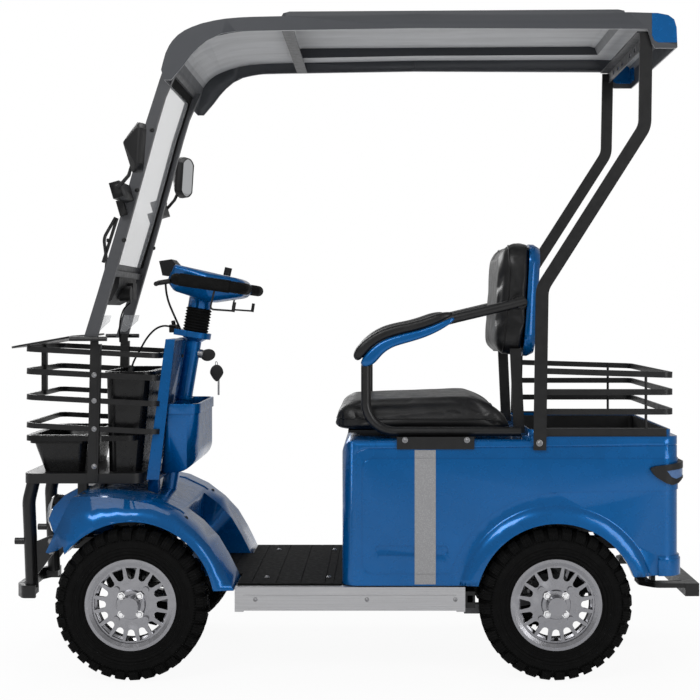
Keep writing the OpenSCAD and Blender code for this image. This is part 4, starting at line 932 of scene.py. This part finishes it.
keys = bmesh.new()
key_bow(keys, on_photo(208, 355, KEY_Y), 0.0205, 0.0165, lean=math.radians(12))
key_bow(keys, on_photo(216.7, 373, KEY_Y), 0.0185, 0.023, taper=0.45)
from_bmesh("key_bows", keys, black_plastic, chassis, 60)
blade = bmesh.new()
block(blade, on_photo(219.6, 395, -0.0012), on_photo(217.6, 379, 0.0012), 0.0004)
from_bmesh("key_blade", blade, steel, chassis)
ring_mid = on_photo(216.5, 364.5, KEY_Y)
ring = []
for step in range(RING_STEPS):
    turn = 2 * math.pi * step / RING_STEPS
    ring.append(ring_mid + Vector((0.003 * math.cos(turn), 0.004 * math.sin(turn), 0.0085 * math.sin(turn))))
line("key_ring", ring, 0.0009, steel, chassis, closed=True)
lock = bmesh.new()
lock_end = on_photo(202.5, 354, KEY_Y)
lock_form = [(0.012, -0.03), (0.012, 0.0), (0.0105, 0.002), (0.008, 0.003)]
turned(lock, lock_form, (-0.986, 0, -0.165), lock_end, 24)
from_bmesh("key_lock", lock, steel, chassis)

# Cable clamp on the column flange
clamp = bmesh.new()
clamp_mid = on_photo(174, 328.5, 0.022)
clamp_half = Vector((0.012, 0.012, 0.011))
clamp_bolt = [(0.006, 0.0), (0.006, 0.012), (0.0045, 0.014)]
block(clamp, clamp_mid - clamp_half, clamp_mid + clamp_half, 0.003)
turned(clamp, clamp_bolt, (0.2, 0, 1), clamp_mid + Vector((0, 0, 0.008)), 6)
from_bmesh("cable_clamp", clamp, black_plastic, chassis)

# Plug at the end of the lamp cable
plug = bmesh.new()
plug_form = [(0.006, -0.012), (0.008, -0.008), (0.008, 0.016), (0.005, 0.02)]
turned(plug, plug_form, (0.2, 0, -1), lamp_cable[-1], 16)
from_bmesh("lamp_plug", plug, black_plastic, chassis)


# Stage, light and sky
FLOOR_HALF = 30
FLOOR_Z = -0.0005


def add_stage():
    shape = bmesh.new()
    bmesh.ops.create_grid(shape, x_segments=1, y_segments=1, size=FLOOR_HALF)
    data = bpy.data.meshes.new("floor")
    shape.to_mesh(data)
    shape.free()
    floor = placed("floor", data)
    floor.location.z = FLOOR_Z
    data.materials.append(glowing_stage("pale_floor"))


def add_light(name, place, aim, size, power):
    data = bpy.data.lights.new(name, "AREA")
    data.shape = "RECTANGLE"
    data.size, data.size_y = size
    data.energy = power
    made = placed(name, data)
    made.location = place
    made.rotation_euler = (Vector(aim) - Vector(place)).to_track_quat("-Z", "Y").to_euler()
    made.visible_camera = False


# The sky lights the object by its strength. The camera and clear sheets see it white, shine a share of that.
SKY_STRENGTH = 0.34
GLOSSY_SHARE = 0.15


def add_sky():
    world = bpy.data.worlds.new("sky")
    scene.world = world
    world.use_nodes = True
    tree = world.node_tree
    lit = tree.nodes["Background"]
    seen = tree.nodes.new("ShaderNodeBackground")
    for background, strength in ((lit, SKY_STRENGTH), (seen, 1.0)):
        background.inputs["Color"].default_value = (1, 1, 1, 1)
        background.inputs["Strength"].default_value = strength
    path = tree.nodes.new("ShaderNodeLightPath")

    def sum_up(operation, first, second):
        made = tree.nodes.new("ShaderNodeMath")
        made.operation = operation
        tree.links.new(first, made.inputs[0])
        if isinstance(second, float):
            made.inputs[1].default_value = second
        else:
            tree.links.new(second, made.inputs[1])
        return made.outputs[0]

    shine = sum_up("MULTIPLY", path.outputs["Is Glossy Ray"], GLOSSY_SHARE)
    through = sum_up("MAXIMUM", shine, path.outputs["Is Transmission Ray"])
    share = sum_up("MAXIMUM", path.outputs["Is Camera Ray"], through)
    mix = tree.nodes.new("ShaderNodeMixShader")
    tree.links.new(share, mix.inputs["Fac"])
    tree.links.new(lit.outputs[0], mix.inputs[1])
    tree.links.new(seen.outputs[0], mix.inputs[2])
    tree.links.new(mix.outputs[0], tree.nodes["World Output"].inputs["Surface"])


LIGHTS = [
    # Name, place, aim, size and power
    ("key_light", (1.8, 3.6, 3.6), (0, 0, 0.6), (2.4, 1.6), 100),
    ("side_light", (-2.8, 3.0, 1.6), (-0.2, 0, 0.6), (1.4, 2.2), 40),
    ("top_light", (0.0, -0.6, 4.2), (0, 0, 0.8), (3.0, 2.0), 60),
    ("far_light", (2.0, -3.4, 2.4), (0, 0, 0.7), (2.0, 2.0), 50),
]
add_stage()
add_sky()
for row in LIGHTS:
    add_light(*row)
scene.view_settings.view_transform = "Standard"
